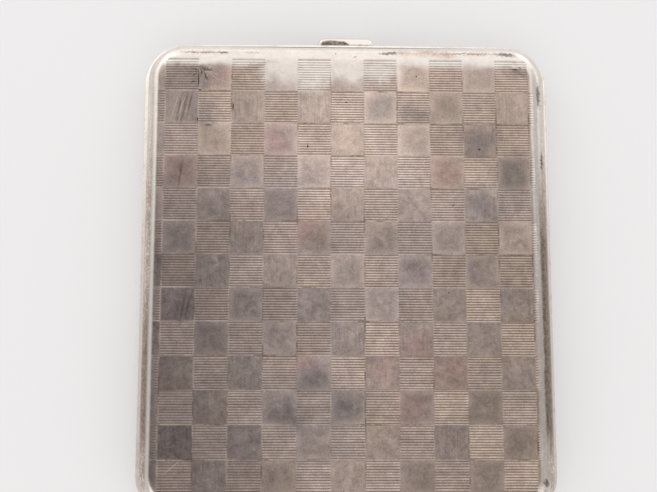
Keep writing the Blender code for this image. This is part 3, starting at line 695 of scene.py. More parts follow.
def sterling_thumbed(finish):
    """Sterling silver, cast and filed, with brown tarnish on the left of its top and skin wear round it."""
    material, add, set_shader, place = new_finish("sterling_thumbed")
    x, y, _ = add("ShaderNodeSeparateXYZ", (place,)).outputs
    # Ragged edges about 0.9 mm across and flecks about 0.5 mm
    mottle = add("ShaderNodeTexNoise", {
        "Vector": place, "Scale": 1 / 0.9, "Detail": 4, "Roughness": 0.65, "Distortion": 0.5
    })
    fleck = add("ShaderNodeTexNoise", {"Vector": place, "Scale": 1 / 0.5, "Detail": 3})
    # The patch is a low hump over the bar's left two thirds, and it thins to a line on the right
    middle_x, half_x, hump_y = -2.5, 3.9, 46.9
    along = add("ShaderNodeMath", (x, 1 / half_x, -middle_x / half_x), operation="MULTIPLY_ADD")
    along = add("ShaderNodeMath", (along,), operation="ABSOLUTE")
    along = add("ShaderNodeMath", (along, 3.0), operation="POWER")
    hump = add("ShaderNodeMath", (along, -1.5, 1.5), operation="MULTIPLY_ADD")
    hump = add("ShaderNodeMath", (hump, 0.6), operation="MAXIMUM")
    ragged = add("ShaderNodeMath", (mottle, 0.9, hump_y), operation="MULTIPLY_ADD")
    edge = add("ShaderNodeMath", (hump, ragged))
    beyond = add("ShaderNodeMath", (y, edge), operation="SUBTRACT")
    inside = add("ShaderNodeMapRange", (beyond, 0.2, -0.2, 0, 0.92))
    ends = add("ShaderNodeMath", (x,), operation="ABSOLUTE")
    ends = add("ShaderNodeMapRange", (ends, 5.5, 4.9))
    patch = add("ShaderNodeMath", (inside, ends), operation="MULTIPLY")
    fleck = add("ShaderNodeMapRange", (fleck, 0.38, 0.62))
    stained = add(
        "ShaderNodeMix", {"Factor": fleck, "A": finish.dirt, "B": finish.tarnish}, data_type="RGBA"
    )
    colour = add(
        "ShaderNodeMix", {"Factor": patch, "A": finish.clean_silver, "B": stained}, data_type="RGBA"
    )
    gloss = add("ShaderNodeMapRange", (patch, 0, 1, 0.2, 0.4))
    set_shader(Base_Color=colour, Roughness=gloss, Metallic=1.0)
    return material


def gold_wash(finish):
    """Gold wash over silver, laid by electroplating: pale yellow, satin, thinner where it is rubbed."""
    material, add, set_shader, place = new_finish("gold_wash")
    # Thin places about 12 mm across
    worn = add("ShaderNodeTexNoise", {"Vector": place, "Scale": 1 / 12, "Detail": 5, "Roughness": 0.55})
    thin = add("ShaderNodeMapRange", (worn, 0.42, 0.8, 0, 0.4), interpolation_type="SMOOTHSTEP")
    colour = add(
        "ShaderNodeMix", {"Factor": thin, "A": finish.gilt, "B": finish.clean_silver}, data_type="RGBA"
    )
    # Satin brushing about 0.25 mm apart, drawn coarser than the real 0.05 mm so that it shows
    drawn = add("ShaderNodeVectorMath", (place, (0.06, 1, 1)), operation="MULTIPLY")
    brushing = add("ShaderNodeTexNoise", {"Vector": drawn, "Scale": 1 / 0.25, "Detail": 2})
    gloss = add("ShaderNodeMapRange", (brushing, 0, 1, 0.24, 0.4))
    bump = add("ShaderNodeBump", {"Strength": 0.3, "Distance": 0.004 * MM, "Height": brushing})
    set_shader(Base_Color=colour, Roughness=gloss, Metallic=1.0, Normal=bump)
    return material


def nickel_silver_rolled(finish):
    """Nickel silver, cold-rolled hard: greyer and yellower than the silver, with fine rolling lines."""
    material, add, set_shader, place = new_finish("nickel_silver_rolled")
    # Rolling lines about 0.12 mm apart along X
    drawn = add("ShaderNodeVectorMath", (place, (0.08, 1, 1)), operation="MULTIPLY")
    lines = add("ShaderNodeTexNoise", {"Vector": drawn, "Scale": 1 / 0.12, "Detail": 3})
    shade = add("ShaderNodeMapRange", (lines, 0, 1, 0.8, 1.15))
    colour = add("ShaderNodeVectorMath", {0: finish.nickel[:3], "Scale": shade}, operation="SCALE")
    gloss = add("ShaderNodeMapRange", (lines, 0, 1, 0.26, 0.42))
    set_shader(Base_Color=colour, Roughness=gloss, Metallic=1.0)
    return material


def rayon_woven(finish):
    """Rayon yarn woven over rubber cords: silky old gold with darker gaps between the picks."""
    material, add, set_shader, place = new_finish("rayon_woven")
    # Picks cross the strap every 0.5 mm, coarser than the real 0.3 mm so that they show
    picks = add("ShaderNodeTexWave", {
        "Vector": place, "Scale": math.pi / 10 / 0.5, "Distortion": 0.8, "Detail": 2, "Detail Scale": 3
    }, wave_type="BANDS", bands_direction="Y")
    # Fibres about 0.15 mm across
    fibre = add("ShaderNodeTexNoise", {"Vector": place, "Scale": 1 / 0.15, "Detail": 3})
    weave = add("ShaderNodeMath", (picks.outputs["Fac"], fibre), operation="MULTIPLY")
    shade = add("ShaderNodeMapRange", (weave, 0, 0.6, 0.65, 1.15))
    colour = add("ShaderNodeVectorMath", {0: finish.elastic[:3], "Scale": shade}, operation="SCALE")
    bump = add("ShaderNodeBump", {"Strength": 0.8, "Distance": 0.06 * MM, "Height": weave})
    set_shader(Base_Color=colour, Roughness=0.6, Sheen_Weight=0.35, Normal=bump)
    return material


def cotton_thread(finish):
    """Waxed cotton thread, twisted: matt brown with a fine slanting lay."""
    material, add, set_shader, place = new_finish("cotton_thread")
    # The lay repeats every 0.12 mm
    twist = add("ShaderNodeTexWave", {
        "Vector": place, "Scale": math.pi / 10 / 0.12, "Distortion": 1.0
    }, wave_type="BANDS", bands_direction="DIAGONAL")
    shade = add("ShaderNodeMapRange", (twist.outputs["Fac"], 0, 1, 0.65, 1.1))
    colour = add("ShaderNodeVectorMath", {0: finish.thread[:3], "Scale": shade}, operation="SCALE")
    set_shader(Base_Color=colour, Roughness=0.75)
    return material


def paper_matt(stage):
    """Uncoated paper, rolled smooth: matt, even and pale white, with soft shadows.

    What the eye sees of it is partly its own colour, so its shadows stay as light as in the photograph.
    """
    material, add, set_shader, _ = new_finish("paper_matt")
    tree = material.node_tree
    set_shader(Base_Color=stage.paper, Roughness=0.9)
    path = add("ShaderNodeLightPath").outputs
    seen = path["Is Camera Ray"]
    for ray in ("Is Glossy Ray", "Is Transmission Ray"):
        seen = add("ShaderNodeMath", (seen, path[ray]), operation="MAXIMUM")
    share = add("ShaderNodeMath", (seen, stage.shadow_fill), operation="MULTIPLY")
    own = add("ShaderNodeEmission", {"Color": stage.paper, "Strength": 1.0})
    mixed = add("ShaderNodeMixShader", (share, tree.nodes["Principled BSDF"], own))
    feed(tree, tree.nodes["Material Output"].inputs["Surface"], mixed)
    return material


def finish_of(context, make, *sizes):
    """The material that make makes, made the first time that it is asked for."""
    made = bpy.data.materials.get(make.__name__)
    return made or make(context.scene.case_finish, *sizes)


# Shaping


def smooth(value):
    """0 below 0, 1 above 1 and an even curve between."""
    share = min(max(value, 0), 1)
    return share * share * (3 - 2 * share)


def core_corner(shape):
    """The middle of the corner arc at +X and +Y. The outline lies one corner radius outside it."""
    return Vector((HALF_WIDTH - shape.corner_radius, HALF_LENGTH - shape.corner_radius))


def half_reach(shape, y, inset):
    """Half the width at y of the outline moved in by inset."""
    core = core_corner(shape)
    radius = shape.corner_radius - inset
    beyond = min(max(abs(y) - core.y, 0), radius)
    return core.x + math.sqrt(radius * radius - beyond * beyond)


def inset_at(shape, x, y):
    """How far inside the outline a place on the face lies."""
    core = core_corner(shape)
    beyond = Vector((max(abs(x) - core.x, 0), max(abs(y) - core.y, 0))).length
    if beyond > 0:
        return shape.corner_radius - beyond
    return shape.corner_radius + min(core.x - abs(x), core.y - abs(y))


def straight_run(half, step, marks):
    """Places from -half to half, about a step apart, with the marks among them."""
    count = max(1, round(2 * half / step))
    places = [half * (2 * i / count - 1) for i in range(count + 1)]
    kept = [p for p in places if all(abs(p - m) > step / 5 for m in marks)]
    return sorted(set(kept) | {-half, half} | {m for m in marks if abs(m) < half})


def outline_way(shape, front=(), sides=(), back=()):
    """Columns round the outline, anticlockwise from the middle of the back.

    Each is a place on the core rectangle and the way out from it. The marks are extra places on a run.
    """
    core = core_corner(shape)
    step = shape.outline_step
    runs = (
        ([Vector((x, -core.y)) for x in straight_run(core.x, step, back)], -90),
        ([Vector((core.x, y)) for y in straight_run(core.y, step, sides)], 0),
        ([Vector((x, core.y)) for x in reversed(straight_run(core.x, step, front))], 90),
        ([Vector((-core.x, y)) for y in reversed(straight_run(core.y, step, sides))], 180),
    )
    way = []
    for places, turn in runs:
        out = Vector((round(math.cos(math.radians(turn))), round(math.sin(math.radians(turn)))))
        way += [(place, out) for place in places]
        for corner in range(1, shape.corner_steps):
            angle = math.radians(turn + 90 * corner / shape.corner_steps)
            way.append((places[-1], Vector((math.cos(angle), math.sin(angle)))))
    first = next(i for i, (place, out) in enumerate(way) if out.y == -1 and place.x > 0)
    return way[first:] + way[:first]


def at_column(column, shape, inset):
    """A column's place, moved in from the outline by inset."""
    place, out = column
    return place + out * (shape.corner_radius - inset)


def round_way(middle, radius, start, end, steps):
    """Points on an arc in a plane, from start to end in degrees."""
    angles = [math.radians(start + (end - start) * i / steps) for i in range(steps + 1)]
    return [middle + radius * Vector((math.cos(a), math.sin(a))) for a in angles]


def face_between(bm, corners, material=0):
    """A face through corners that may coincide. Fewer than three left make none."""
    ring = [v for i, v in enumerate(corners) if v is not corners[i - 1]]
    if len(set(ring)) >= 3:
        bm.faces.new(ring).material_index = material


def join_rings(bm, rings, ends=True):
    """Faces between rings that have as many points each, and over both ends."""
    for ring, following in zip(rings, rings[1:]):
        for i in range(len(ring)):
            face_between(bm, (ring[i - 1], ring[i], following[i], following[i - 1]))
    if ends:
        bm.faces.new(rings[0])
        bm.faces.new(rings[-1])


def join_lines(bm, lines, gilt_from):
    """Faces between lines of points laid side by side, gilt from that point of each line on."""
    for line, following in zip(lines, lines[1:]):
        for i in range(len(line) - 1):
            face_between(bm, (line[i], line[i + 1], following[i + 1], following[i]), int(i >= gilt_from))


def zip_loops(bm, inner, outer):
    """Fill the strip between two loops round the origin that have unlike counts."""
    def turn(vert):
        return math.atan2(vert.co.y, vert.co.x)

    inner, outer = sorted(inner, key=turn), sorted(outer, key=turn)
    turns = [[turn(v) for v in loop] + [turn(loop[0]) + 2 * math.pi] for loop in (inner, outer)]
    i = j = 0
    while i < len(inner) or j < len(outer):
        here, there = inner[i % len(inner)], outer[j % len(outer)]
        if j == len(outer) or (i < len(inner) and turns[0][i + 1] <= turns[1][j + 1]):
            i += 1
            bm.faces.new((here, there, inner[i % len(inner)]))
        else:
            j += 1
            bm.faces.new((here, there, outer[j % len(outer)]))


def finished_piece(bm, name, body, materials, replaced=(), sharp=40, creases=()):
    """Close a bmesh into a piece that rides on its body and stands for the nodes it replaces.

    Its edges of more than sharp degrees stay sharp, and so do its creases.
    """
    bmesh.ops.recalc_face_normals(bm, faces=bm.faces)
    for face in bm.faces:
        face.smooth = True
    for edge in bm.edges:
        edge.smooth = edge.is_manifold and edge.calc_face_angle() < math.radians(sharp)
    for edge in creases:
        edge.smooth = False
    mesh = bpy.data.meshes.new(name)
    bm.to_mesh(mesh)
    bm.free()
    for material in materials:
        mesh.materials.append(material)
    piece = bpy.data.objects.new(name, mesh)
    bpy.context.scene.collection.objects.link(piece)
    if body:
        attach(piece, body)
    if replaced:
        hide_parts(*replaced)
    return piece


def sweep_section(bm, columns, shape, section):
    """Draw a closed section of (inset, z) points along columns of the outline, with flat ends."""
    rings = []
    for column in columns:
        places = [(at_column(column, shape, inset), z) for inset, z in section]
        rings.append([bm.verts.new((place.x, place.y, z)) for place, z in places])
    join_rings(bm, rings)


def rounded_section(low, high, rounding, steps=3):
    """A rectangle from low to high with rounded corners, as points anticlockwise."""
    points = []
    for sign_x, sign_y, start in ((1, 1, 0), (-1, 1, 90), (-1, -1, 180), (1, -1, 270)):
        middle = Vector((high[0] if sign_x > 0 else low[0], high[1] if sign_y > 0 else low[1]))
        middle -= Vector((sign_x, sign_y)) * rounding
        points += [tuple(point) for point in round_way(middle, rounding, start, start + 90, steps)]
    return points


def turned_form(bm, profile, middle, sides, axis):
    """A solid of revolution from (along, radius) points, round an axis through middle."""
    turn = Vector((0, 0, 1)).rotation_difference(axis).to_matrix().to_4x4()
    matrix = Matrix.Translation(middle) @ turn
    angles = [2 * math.pi * i / sides for i in range(sides)]
    rings = []
    for along, radius in profile:
        if radius == 0:
            rings.append([bm.verts.new(matrix @ Vector((0, 0, along)))] * sides)
            continue
        ring = [Vector((radius * math.cos(a), radius * math.sin(a), along)) for a in angles]
        rings.append([bm.verts.new(matrix @ point) for point in ring])
    join_rings(bm, rings, ends=False)


def prism_form(bm, outline, low_x, high_x):
    """A (y, z) outline drawn out along X."""
    join_rings(bm, [[bm.verts.new((x, y, z)) for y, z in outline] for x in (low_x, high_x)])


def soften(bm, edges, radius, steps=2):
    """Round edges over."""
    bmesh.ops.bevel(
        bm, geom=edges, offset=radius, segments=steps, profile=0.5, affect="EDGES", clamp_overlap=True
    )


def heading_at(points, i):
    """The way that a line of points runs at one of them."""
    return (points[min(i + 1, len(points) - 1)] - points[max(i - 1, 0)]).normalized()


def wire_form(bm, points, radius, sides):
    """A round wire through points, with flat ends."""
    angles = [2 * math.pi * k / sides for k in range(sides)]
    side = heading_at(points, 0).orthogonal()
    rings = []
    for i, point in enumerate(points):
        ahead = heading_at(points, i)
        side = (side - ahead * side.dot(ahead)).normalized()
        up = ahead.cross(side)
        ring = [point + radius * (side * math.cos(a) + up * math.sin(a)) for a in angles]
        rings.append([bm.verts.new(place) for place in ring])
    join_rings(bm, rings)


# Pressed pans

# Insets from the outline at which the face's rows end, the roll's rings start and the pattern ends
FACE_INSET = 2.2 * MM
RING_INSET = 2.05 * MM
PATTERN_INSET = 2.42 * MM
# Parts of a square that show beyond the last full ones
LEFT_SLIVER, RIGHT_SLIVER = 0.2, 0.15
# Parts of a groove's pitch, and parts of a dent's radius, at which the face has points
GROOVE_PARTS = (0.1, 0.3, 0.5, 0.7, 0.9)
DENT_PARTS = (-1.4, -0.7, 0, 0.7, 1.4)
# Steps of the face's curved front and back, of the roll and of the slot's corners
RIM_STEPS, ROLL_STEPS, SLOT_STEPS = 6, 14, 6
# Points of a column down to its lip
OUTSIDE_POINTS = ROLL_STEPS + 2
# How far grooves differ in depth, as a share
GROOVE_UNEVEN = 0.24
# The last lines of points lie this far beyond where the roll starts
LAST_LINE = 0.35 * MM
# Widths and heights of the face's slow waves
LONG_WAVE, SHORT_WAVE = 22 * MM, 9 * MM
# Points nearer to each other than this are one
TOUCHING = 0.001 * MM
# Openings for the hinge at the back and for the push bar at the front, and how wide their ends are cut
CUT_WIDTH = 0.03 * MM
CUT_GAP = 0.12 * MM
WINDOW_HALF = BEARER_HIGH.x + CUT_GAP
SLOT_HALF = BAR_HIGH.x + CUT_GAP
SLOT_CORNER = 1.3 * MM
SLOT_BELOW = 0.15 * MM
# Beside the push bar the base's frame bulges out and the lid's edge is pressed in over this depth
FRONT_BULGE, FRONT_PRESS, FRONT_REACH, FRONT_DEPTH = 0.15 * MM, 0.25 * MM, 20 * MM, 0.6 * MM
# Dents in the lid: place in squares from the back left corner, radius and depth
DENTS = ((1.12, 12.72, 0.5 * MM, 0.16 * MM), (10.62, 12.88, 0.45 * MM, 0.14 * MM))


def beside_bar(x):
    """1 in front of the push bar's middle, falling away to either side."""
    return math.exp(-(x / FRONT_REACH) ** 2)


def groove_share(part):
    """How deep a groove is at a part of its pitch: flat-topped ridges and rounded furrows."""
    flat = math.cos(2 * math.pi * GROOVE_PARTS[0])
    return (flat - math.cos(2 * math.pi * part)) / (flat + 1)


def face_rows(shape):
    """(y, groove share) of each row of points on a face, from back to front."""
    core = core_corner(shape)
    half = SQUARES_ALONG / 2 * shape.square
    pitch = shape.square / GROOVES
    cut = [
        (-half + (groove + part) * pitch, groove_share(part))
        for groove in range(SQUARES_ALONG * GROOVES) for part in GROOVE_PARTS
    ]
    radius = shape.corner_radius - FACE_INSET
    start = math.asin((half - core.y) / radius)
    turns = [start + (math.pi / 2 - start) * i / RIM_STEPS for i in range(1, RIM_STEPS + 1)]
    rim = [core.y + radius * math.sin(angle) for angle in turns]
    return [(-y, 0) for y in reversed(rim)] + cut + [(y, 0) for y in rim]


def face_lines(shape, dents):
    """The X of each line of points on a face: both sides of every square's edge, and between."""
    square, half = shape.square, SQUARES_ACROSS / 2
    lines = []
    for index in range(SQUARES_ACROSS + 1):
        edge = (index - half) * square
        lines += [edge - shape.run_out / 2, edge + shape.run_out / 2]
        if index < SQUARES_ACROSS:
            lines.append(edge + square / 2)
    for u, _, radius, _ in dents:
        lines += [(u - half) * square + radius * part for part in DENT_PARTS]
    beyond = HALF_WIDTH - shape.roll_radius + LAST_LINE
    return sorted(lines + [-beyond, beyond])


def is_lined(shape, x, y):
    """Whether a place lies in an engine-turned square. The one at the front left corner is."""
    column = math.floor(x / shape.square + SQUARES_ACROSS / 2)
    row = math.floor(SQUARES_ALONG / 2 - y / shape.square)
    return (column + row) % 2 == 0


def outside_inset(shape, depth):
    """Inset of a pan's outside at a depth below its face."""
    roll = shape.roll_radius
    return 0 if depth >= roll else roll - math.sqrt(roll * roll - (roll - depth) ** 2)


def inside_inset(shape, depth):
    """Inset of a pan's inside at a depth below its face."""
    roll, inner = shape.roll_radius, shape.roll_radius - shape.sheet
    return shape.sheet if depth >= roll else roll - math.sqrt(inner * inner - (roll - depth) ** 2)


def crown(shape, inset):
    """How far a face has fallen away at an inset. It falls no further once the roll has begun."""
    width = shape.crown_width - FACE_INSET
    share = min(max((shape.crown_width - inset) / width, 0), 1)
    return shape.crown_drop * share * share


def face_depth(shape, x, y, dents):
    """How far the ungrooved face lies below its highest level."""
    inset = inset_at(shape, x, y)
    roll = shape.roll_radius
    depth = crown(shape, inset)
    if inset < roll:
        depth += roll - math.sqrt(roll * roll - (roll - inset) ** 2)
    settled = smooth((inset - FACE_INSET) / roll)
    slow = noise.noise(Vector((x, y, 0)) / LONG_WAVE) + noise.noise(Vector((x, y, 9)) / SHORT_WAVE) / 3
    depth += settled * shape.waviness * (0.5 + slow / 2)
    for u, v, radius, deep in dents:
        there = Vector(((u - SQUARES_ACROSS / 2), (v - SQUARES_ALONG / 2))) * shape.square
        depth += deep * math.exp(-((Vector((x, y)) - there).length / radius) ** 2)
    return depth


def pan_section(shape, reach):
    """(inset, depth) points down a pan's outside, over its lip and up its inside."""
    roll, lip = shape.roll_radius, shape.lip
    start = math.asin(1 - RING_INSET / roll)
    turns = [start + (math.pi / 2 - start) * i / ROLL_STEPS for i in range(ROLL_STEPS + 1)]
    outside = [min(roll * (1 - math.cos(a)), reach - lip) for a in turns] + [reach - lip]
    section = [(outside_inset(shape, depth), depth) for depth in outside]
    section.append((outside_inset(shape, reach) + lip, reach))
    section.append((inside_inset(shape, reach) - lip, reach))
    inner = roll - shape.sheet
    quarter = [math.pi / 2 * i / (ROLL_STEPS // 2) for i in range(ROLL_STEPS // 2 + 1)]
    inside = [roll - inner * math.sin(a) for a in quarter]
    levels = [reach - lip] + [min(depth, reach - lip) for depth in inside]
    return section + [(inside_inset(shape, depth), depth) for depth in levels]


def chequered_rows(shape, dents, add_vert):
    """The points of a face, row by row. Lines past the pattern's end are drawn in to it and share a point."""
    pitch = shape.square / GROOVES
    lines = face_lines(shape, dents)
    rows = []
    for y, share in face_rows(shape):
        reach = half_reach(shape, y, FACE_INSET)
        left, right = (
            min(half_reach(shape, y, PATTERN_INSET), (SQUARES_ACROSS / 2 + sliver) * shape.square)
            for sliver in (LEFT_SLIVER, RIGHT_SLIVER)
        )
        inner = [min(max(x, -left + shape.run_out), right - shape.run_out) for x in lines]
        row = []
        for x in (-reach, -left, *inner, right, reach):
            if row and math.isclose(row[-1].co.x, x, abs_tol=TOUCHING):
                row.append(row[-1])
                continue
            patterned = -left < x < right and abs(y) < SQUARES_ALONG / 2 * shape.square
            lined = int(patterned and is_lined(shape, x, y))
            cut = noise.cell(Vector((math.floor(x / shape.square), math.floor(y / pitch), 3)))
            even = 1 + GROOVE_UNEVEN * (cut - 0.5)
            depth = face_depth(shape, x, y, dents) + share * lined * even * shape.groove_depth
            row.append(add_vert(x, y, depth, lined, share * lined))
        rows.append(row)
    return rows


def rolled_rings(shape, reach_at, dents, add_vert):
    """The points of the rolled edge, the wall and the inside, column by column round the outline."""
    window = [side * (WINDOW_HALF + cut) for cut in (0, CUT_WIDTH) for side in (-1, 1)]
    turns = [math.pi / 2 * i / SLOT_STEPS for i in range(SLOT_STEPS + 1)]
    slot = [SLOT_HALF - SLOT_CORNER * (1 - math.sin(a)) for a in turns] + [SLOT_HALF + CUT_WIDTH]
    slot = [side * x for x in slot for side in (-1, 1)]
    rings = []
    for column in outline_way(shape, front=slot, back=window):
        section = pan_section(shape, reach_at(at_column(column, shape, 0)))
        ring = []
        last = None
        for index, (inset, depth) in enumerate(section):
            x, y = at_column(column, shape, inset)
            if index < OUTSIDE_POINTS:
                depth += shape.crown_drop * max(0, 1 - depth / shape.roll_radius)
                if dents and y > HALF_LENGTH - FRONT_DEPTH:
                    # Thumbs have pressed the lid's front edge in beside the push bar
                    y -= FRONT_PRESS * beside_bar(x) * smooth(1 - inset / FRONT_DEPTH)
            lies = Vector((x, y, depth))
            touches = last is not None and (lies - last).length < TOUCHING
            ring.append(ring[-1] if touches else add_vert(*lies))
            last = last if touches else lies
        rings.append(ring)
    return rings


def build_pan(name, shape, face_z, mouth_z, reach_at, dents, body, replaced, materials):
    """A pressed pan: chequered face, rolled edge, wall and gilt inside, as one closed skin."""
    bm = bmesh.new()
    guides = [bm.verts.layers.float.new(key) for key in ("lined", "groove", "inset")]
    up = 1 if face_z > mouth_z else -1

    def add_vert(x, y, depth, lined=0, groove=0):
        vert = bm.verts.new((x, y, face_z - up * depth))
        for guide, value in zip(guides, (lined, groove, inset_at(shape, x, y) / MM)):
            vert[guide] = value
        return vert

    rows = chequered_rows(shape, dents, add_vert)
    join_lines(bm, rows, len(rows[0]))
    creases = [
        bm.edges.get((row[i], following[i]))
        for row, following in zip(rows, rows[1:]) for i in range(1, len(row) - 1)
        if len({vert[guides[0]] for vert in row[i - 1:i + 2]}) > 1
    ]
    border = {row[0] for row in rows} | {row[-1] for row in rows} | set(rows[0]) | set(rows[-1])
    rings = rolled_rings(shape, reach_at, dents, add_vert)
    join_lines(bm, rings + rings[:1], OUTSIDE_POINTS + 1)
    zip_loops(bm, border, [ring[0] for ring in rings])
    bm.faces.new([ring[-1] for ring in rings]).material_index = 1
    return finished_piece(
        bm, name, body, materials, replaced, creases=[edge for edge in creases if edge]
    )


def pan_materials(context):
    """A pan's outside and its gilt inside."""
    shape = context.scene.case_shape
    return [finish_of(context, sterling_engine_turned, shape), finish_of(context, gold_wash)]


class CASE_OT_lid_pan(bpy.types.Operator):
    """Build the lid's pan with its chequered face"""

    bl_idname = "case.lid_pan"
    bl_label = "Lid pan"

    def execute(self, context):
        shape = context.scene.case_shape
        depth = LID_HIGH.z - LID_LOW.z
        window_depth = LID_HIGH.z - LID_BEARER_HIGH.z - shape.solder_gap

        def reach_at(place):
            return window_depth if place.y < 0 and abs(place.x) <= WINDOW_HALF else depth

        build_pan(
            "lid_pan", shape, LID_HIGH.z, LID_LOW.z, reach_at, DENTS, "lid", ["lid_shell"],
            pan_materials(context),
        )
        return {"FINISHED"}


class CASE_OT_base_pan(bpy.types.Operator):
    """Build the base's pan, with the slot for the push bar"""

    bl_idname = "case.base_pan"
    bl_label = "Base pan"

    def execute(self, context):
        shape = context.scene.case_shape
        depth = BASE_FRAME_LOW.z - shape.solder_gap
        window_depth = BEARER_LOW.z - shape.solder_gap
        slot_depth = BAR_LOW.z - SLOT_BELOW

        def reach_at(place):
            if place.y < 0 and abs(place.x) <= WINDOW_HALF:
                return window_depth
            if place.y > 0 and abs(place.x) <= SLOT_HALF:
                beyond = max(abs(place.x) - SLOT_HALF + SLOT_CORNER, 0) / SLOT_CORNER
                return slot_depth + SLOT_CORNER * (1 - math.sqrt(max(1 - beyond * beyond, 0)))
            return depth

        build_pan(
            "base_pan", shape, BASE_LOW.z, depth, reach_at, (), "base", ["base_shell"],
            pan_materials(context),
        )
        return {"FINISHED"}


# Frames and bezels

# How far in from the base's and the lid's walls their frames reach, and the rounding of their wires
BASE_FRAME_REACH, BASE_FRAME_ROUNDING = 0.95 * MM, 0.2 * MM
LID_FRAME_REACH, LID_FRAME_ROUNDING = 0.7 * MM, 0.12 * MM
BEZEL_THICKNESS, BEZEL_ROUNDING = 0.5 * MM, 0.16 * MM


class CASE_OT_mouth_frames(bpy.types.Operator):
    """Build the wire frames round both mouths"""

    bl_idname = "case.mouth_frames"
    bl_label = "Mouth frames"

    def execute(self, context):
        shape = context.scene.case_shape
        silver = finish_of(context, sterling_rubbed)
        # The columns from the hinge window's right side round the front to its left side
        way = [
            (place, out) for place, out in outline_way(shape, back=(-WINDOW_HALF, WINDOW_HALF))
            if out.y != -1 or abs(place.x) >= WINDOW_HALF - CUT_WIDTH / 2
        ]
        lid_wall = HALF_WIDTH - LID_FRAME_HIGH.x
        frames = (
            ("base_mouth_frame", "base", "base_edge_frame", HALF_WIDTH - BASE_FRAME_HIGH.x,
             shape.sheet + BASE_FRAME_REACH, BASE_FRAME_LOW.z, BASE_FRAME_HIGH.z, BASE_FRAME_ROUNDING),
            ("lid_mouth_frame", "lid", "lid_edge_frame", shape.sheet + shape.solder_gap,
             lid_wall + LID_FRAME_REACH, LID_FRAME_LOW.z, LID_FRAME_HIGH.z, LID_FRAME_ROUNDING),
        )
        for name, body, node, outer, inner, low, high, rounding in frames:
            bm = bmesh.new()
            sweep_section(bm, way, shape, rounded_section((outer, low), (inner, high), rounding))
            # The base's frame has been pressed outwards a little beside the push bar
            for vert in bm.verts:
                if body == "base" and vert.co.y > HALF_LENGTH:
                    vert.co.y += FRONT_BULGE * beside_bar(vert.co.x)
            finished_piece(bm, name, body, [silver], [node])
        return {"FINISHED"}


class CASE_OT_bezels(bpy.types.Operator):
    """Build the thin upstands inside the base's mouth"""

    bl_idname = "case.bezels"
    bl_label = "Bezels"

    def execute(self, context):
        shape = context.scene.case_shape
        gilt = finish_of(context, gold_wash)
        outer = HALF_WIDTH - BEZEL_HIGH.x
        inner = outer + BEZEL_THICKNESS
        section = rounded_section((outer, BEZEL_LOW.z), (inner, BEZEL_HIGH.z), BEZEL_ROUNDING)
        open_half, back_end = BEZEL_LOW.x, BEZEL_LOW.y
        way = outline_way(shape, front=(-open_half, open_half), sides=(back_end,))
        for side, sign in (("left", -1), ("right", 1)):
            kept = [
                (place, out) for place, out in way
                if out.y >= 0 and sign * place.x >= open_half - CUT_WIDTH
                and (out.x == 0 or place.y >= back_end - CUT_WIDTH)
            ]
            bm = bmesh.new()
            sweep_section(bm, kept[::sign], shape, section)
            name = f"base_bezel_{side}"
            finished_piece(bm, name + "_gilt", "base", [gilt], [name])
        return {"FINISHED"}


# Hinge

# From a tube to the cove behind it, and from the pin to the tube round it
COVE_GAP, PIN_GAP = 0.3 * MM, 0.1 * MM
COVE_STEPS = 12
TUBE_CHAMFER = 0.07 * MM
# The solder starts just inside a tube's skin and stops short of the tube's ends. Its angles are degrees
SOLDER_SINK, SOLDER_SHORT = 0.1 * MM, 0.3 * MM
SOLDER_START, SOLDER_END, SOLDER_STEPS = 8, 68, 10
# Height of the domes at the pin's ends, and the angles of their rings in radians
PIN_DOME = 0.12 * MM
PIN_TURNS = (0, 0.4, 0.8, 1.2)
# A tube's bore closes on itself at points within this distance
WELD = 0.0005 * MM


def build_bearers(silver, channel):
    """The coved strips that carry the tubes."""
    start = math.degrees(math.acos((BEARER_LOW.y - HINGE.y) / channel))
    end = math.degrees(math.asin((HINGE.z - BASE_FRAME_HIGH.z) / channel))
    cove = round_way(Vector((HINGE.y, 0)), channel, start, end, COVE_STEPS)
    bearers = (
        ("base_bearer", "base", "base_hinge_bearer", -1, BASE_FRAME_HIGH.z, BEARER_LOW, BEARER_HIGH),
        ("lid_bearer", "lid", "lid_hinge_bearer", 1, LID_LOW.z, LID_BEARER_LOW, LID_BEARER_HIGH),
    )
    for name, body, node, away, mouth, low, high in bearers:
        far_z = low.z if away < 0 else high.z
        outline = [(y, HINGE.z + away * drop) for y, drop in cove]
        outline += [(high.y, mouth), (high.y, far_z), (low.y, far_z)]
        bm = bmesh.new()
        prism_form(bm, outline, low.x, high.x)
        finished_piece(bm, name, body, [silver], [node], sharp=30)


def build_tube(silver, name, radius, channel, sides):
    """A chamfered tube with the run of solder that fills the cove behind it."""
    low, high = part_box(name)
    half = (high.x - low.x) / 2
    bore = PIN_HIGH.z - HINGE.z + PIN_GAP
    slope = radius - TUBE_CHAMFER
    profile = [
        (-half, bore), (-half, slope), (-half + TUBE_CHAMFER, radius),
        (half - TUBE_CHAMFER, radius), (half, slope), (half, bore), (-half, bore),
    ]
    bm = bmesh.new()
    turned_form(bm, profile, Vector(((low.x + high.x) / 2, *HINGE.yz)), sides, Vector((1, 0, 0)))
    bmesh.ops.remove_doubles(bm, verts=bm.verts, dist=WELD)
    body = name.split("_")[0]
    away = -1 if body == "base" else 1
    arcs = [
        round_way(Vector((0, 0)), size, SOLDER_START, SOLDER_END, SOLDER_STEPS)
        for size in (radius - SOLDER_SINK, channel)
    ]
    outline = [(HINGE.y + y, HINGE.z + away * rise) for y, rise in arcs[0] + arcs[1][::-1]]
    prism_form(bm, outline, low.x + SOLDER_SHORT, high.x - SOLDER_SHORT)
    finished_piece(bm, name.replace("knuckle", "tube"), body, [silver], [name])


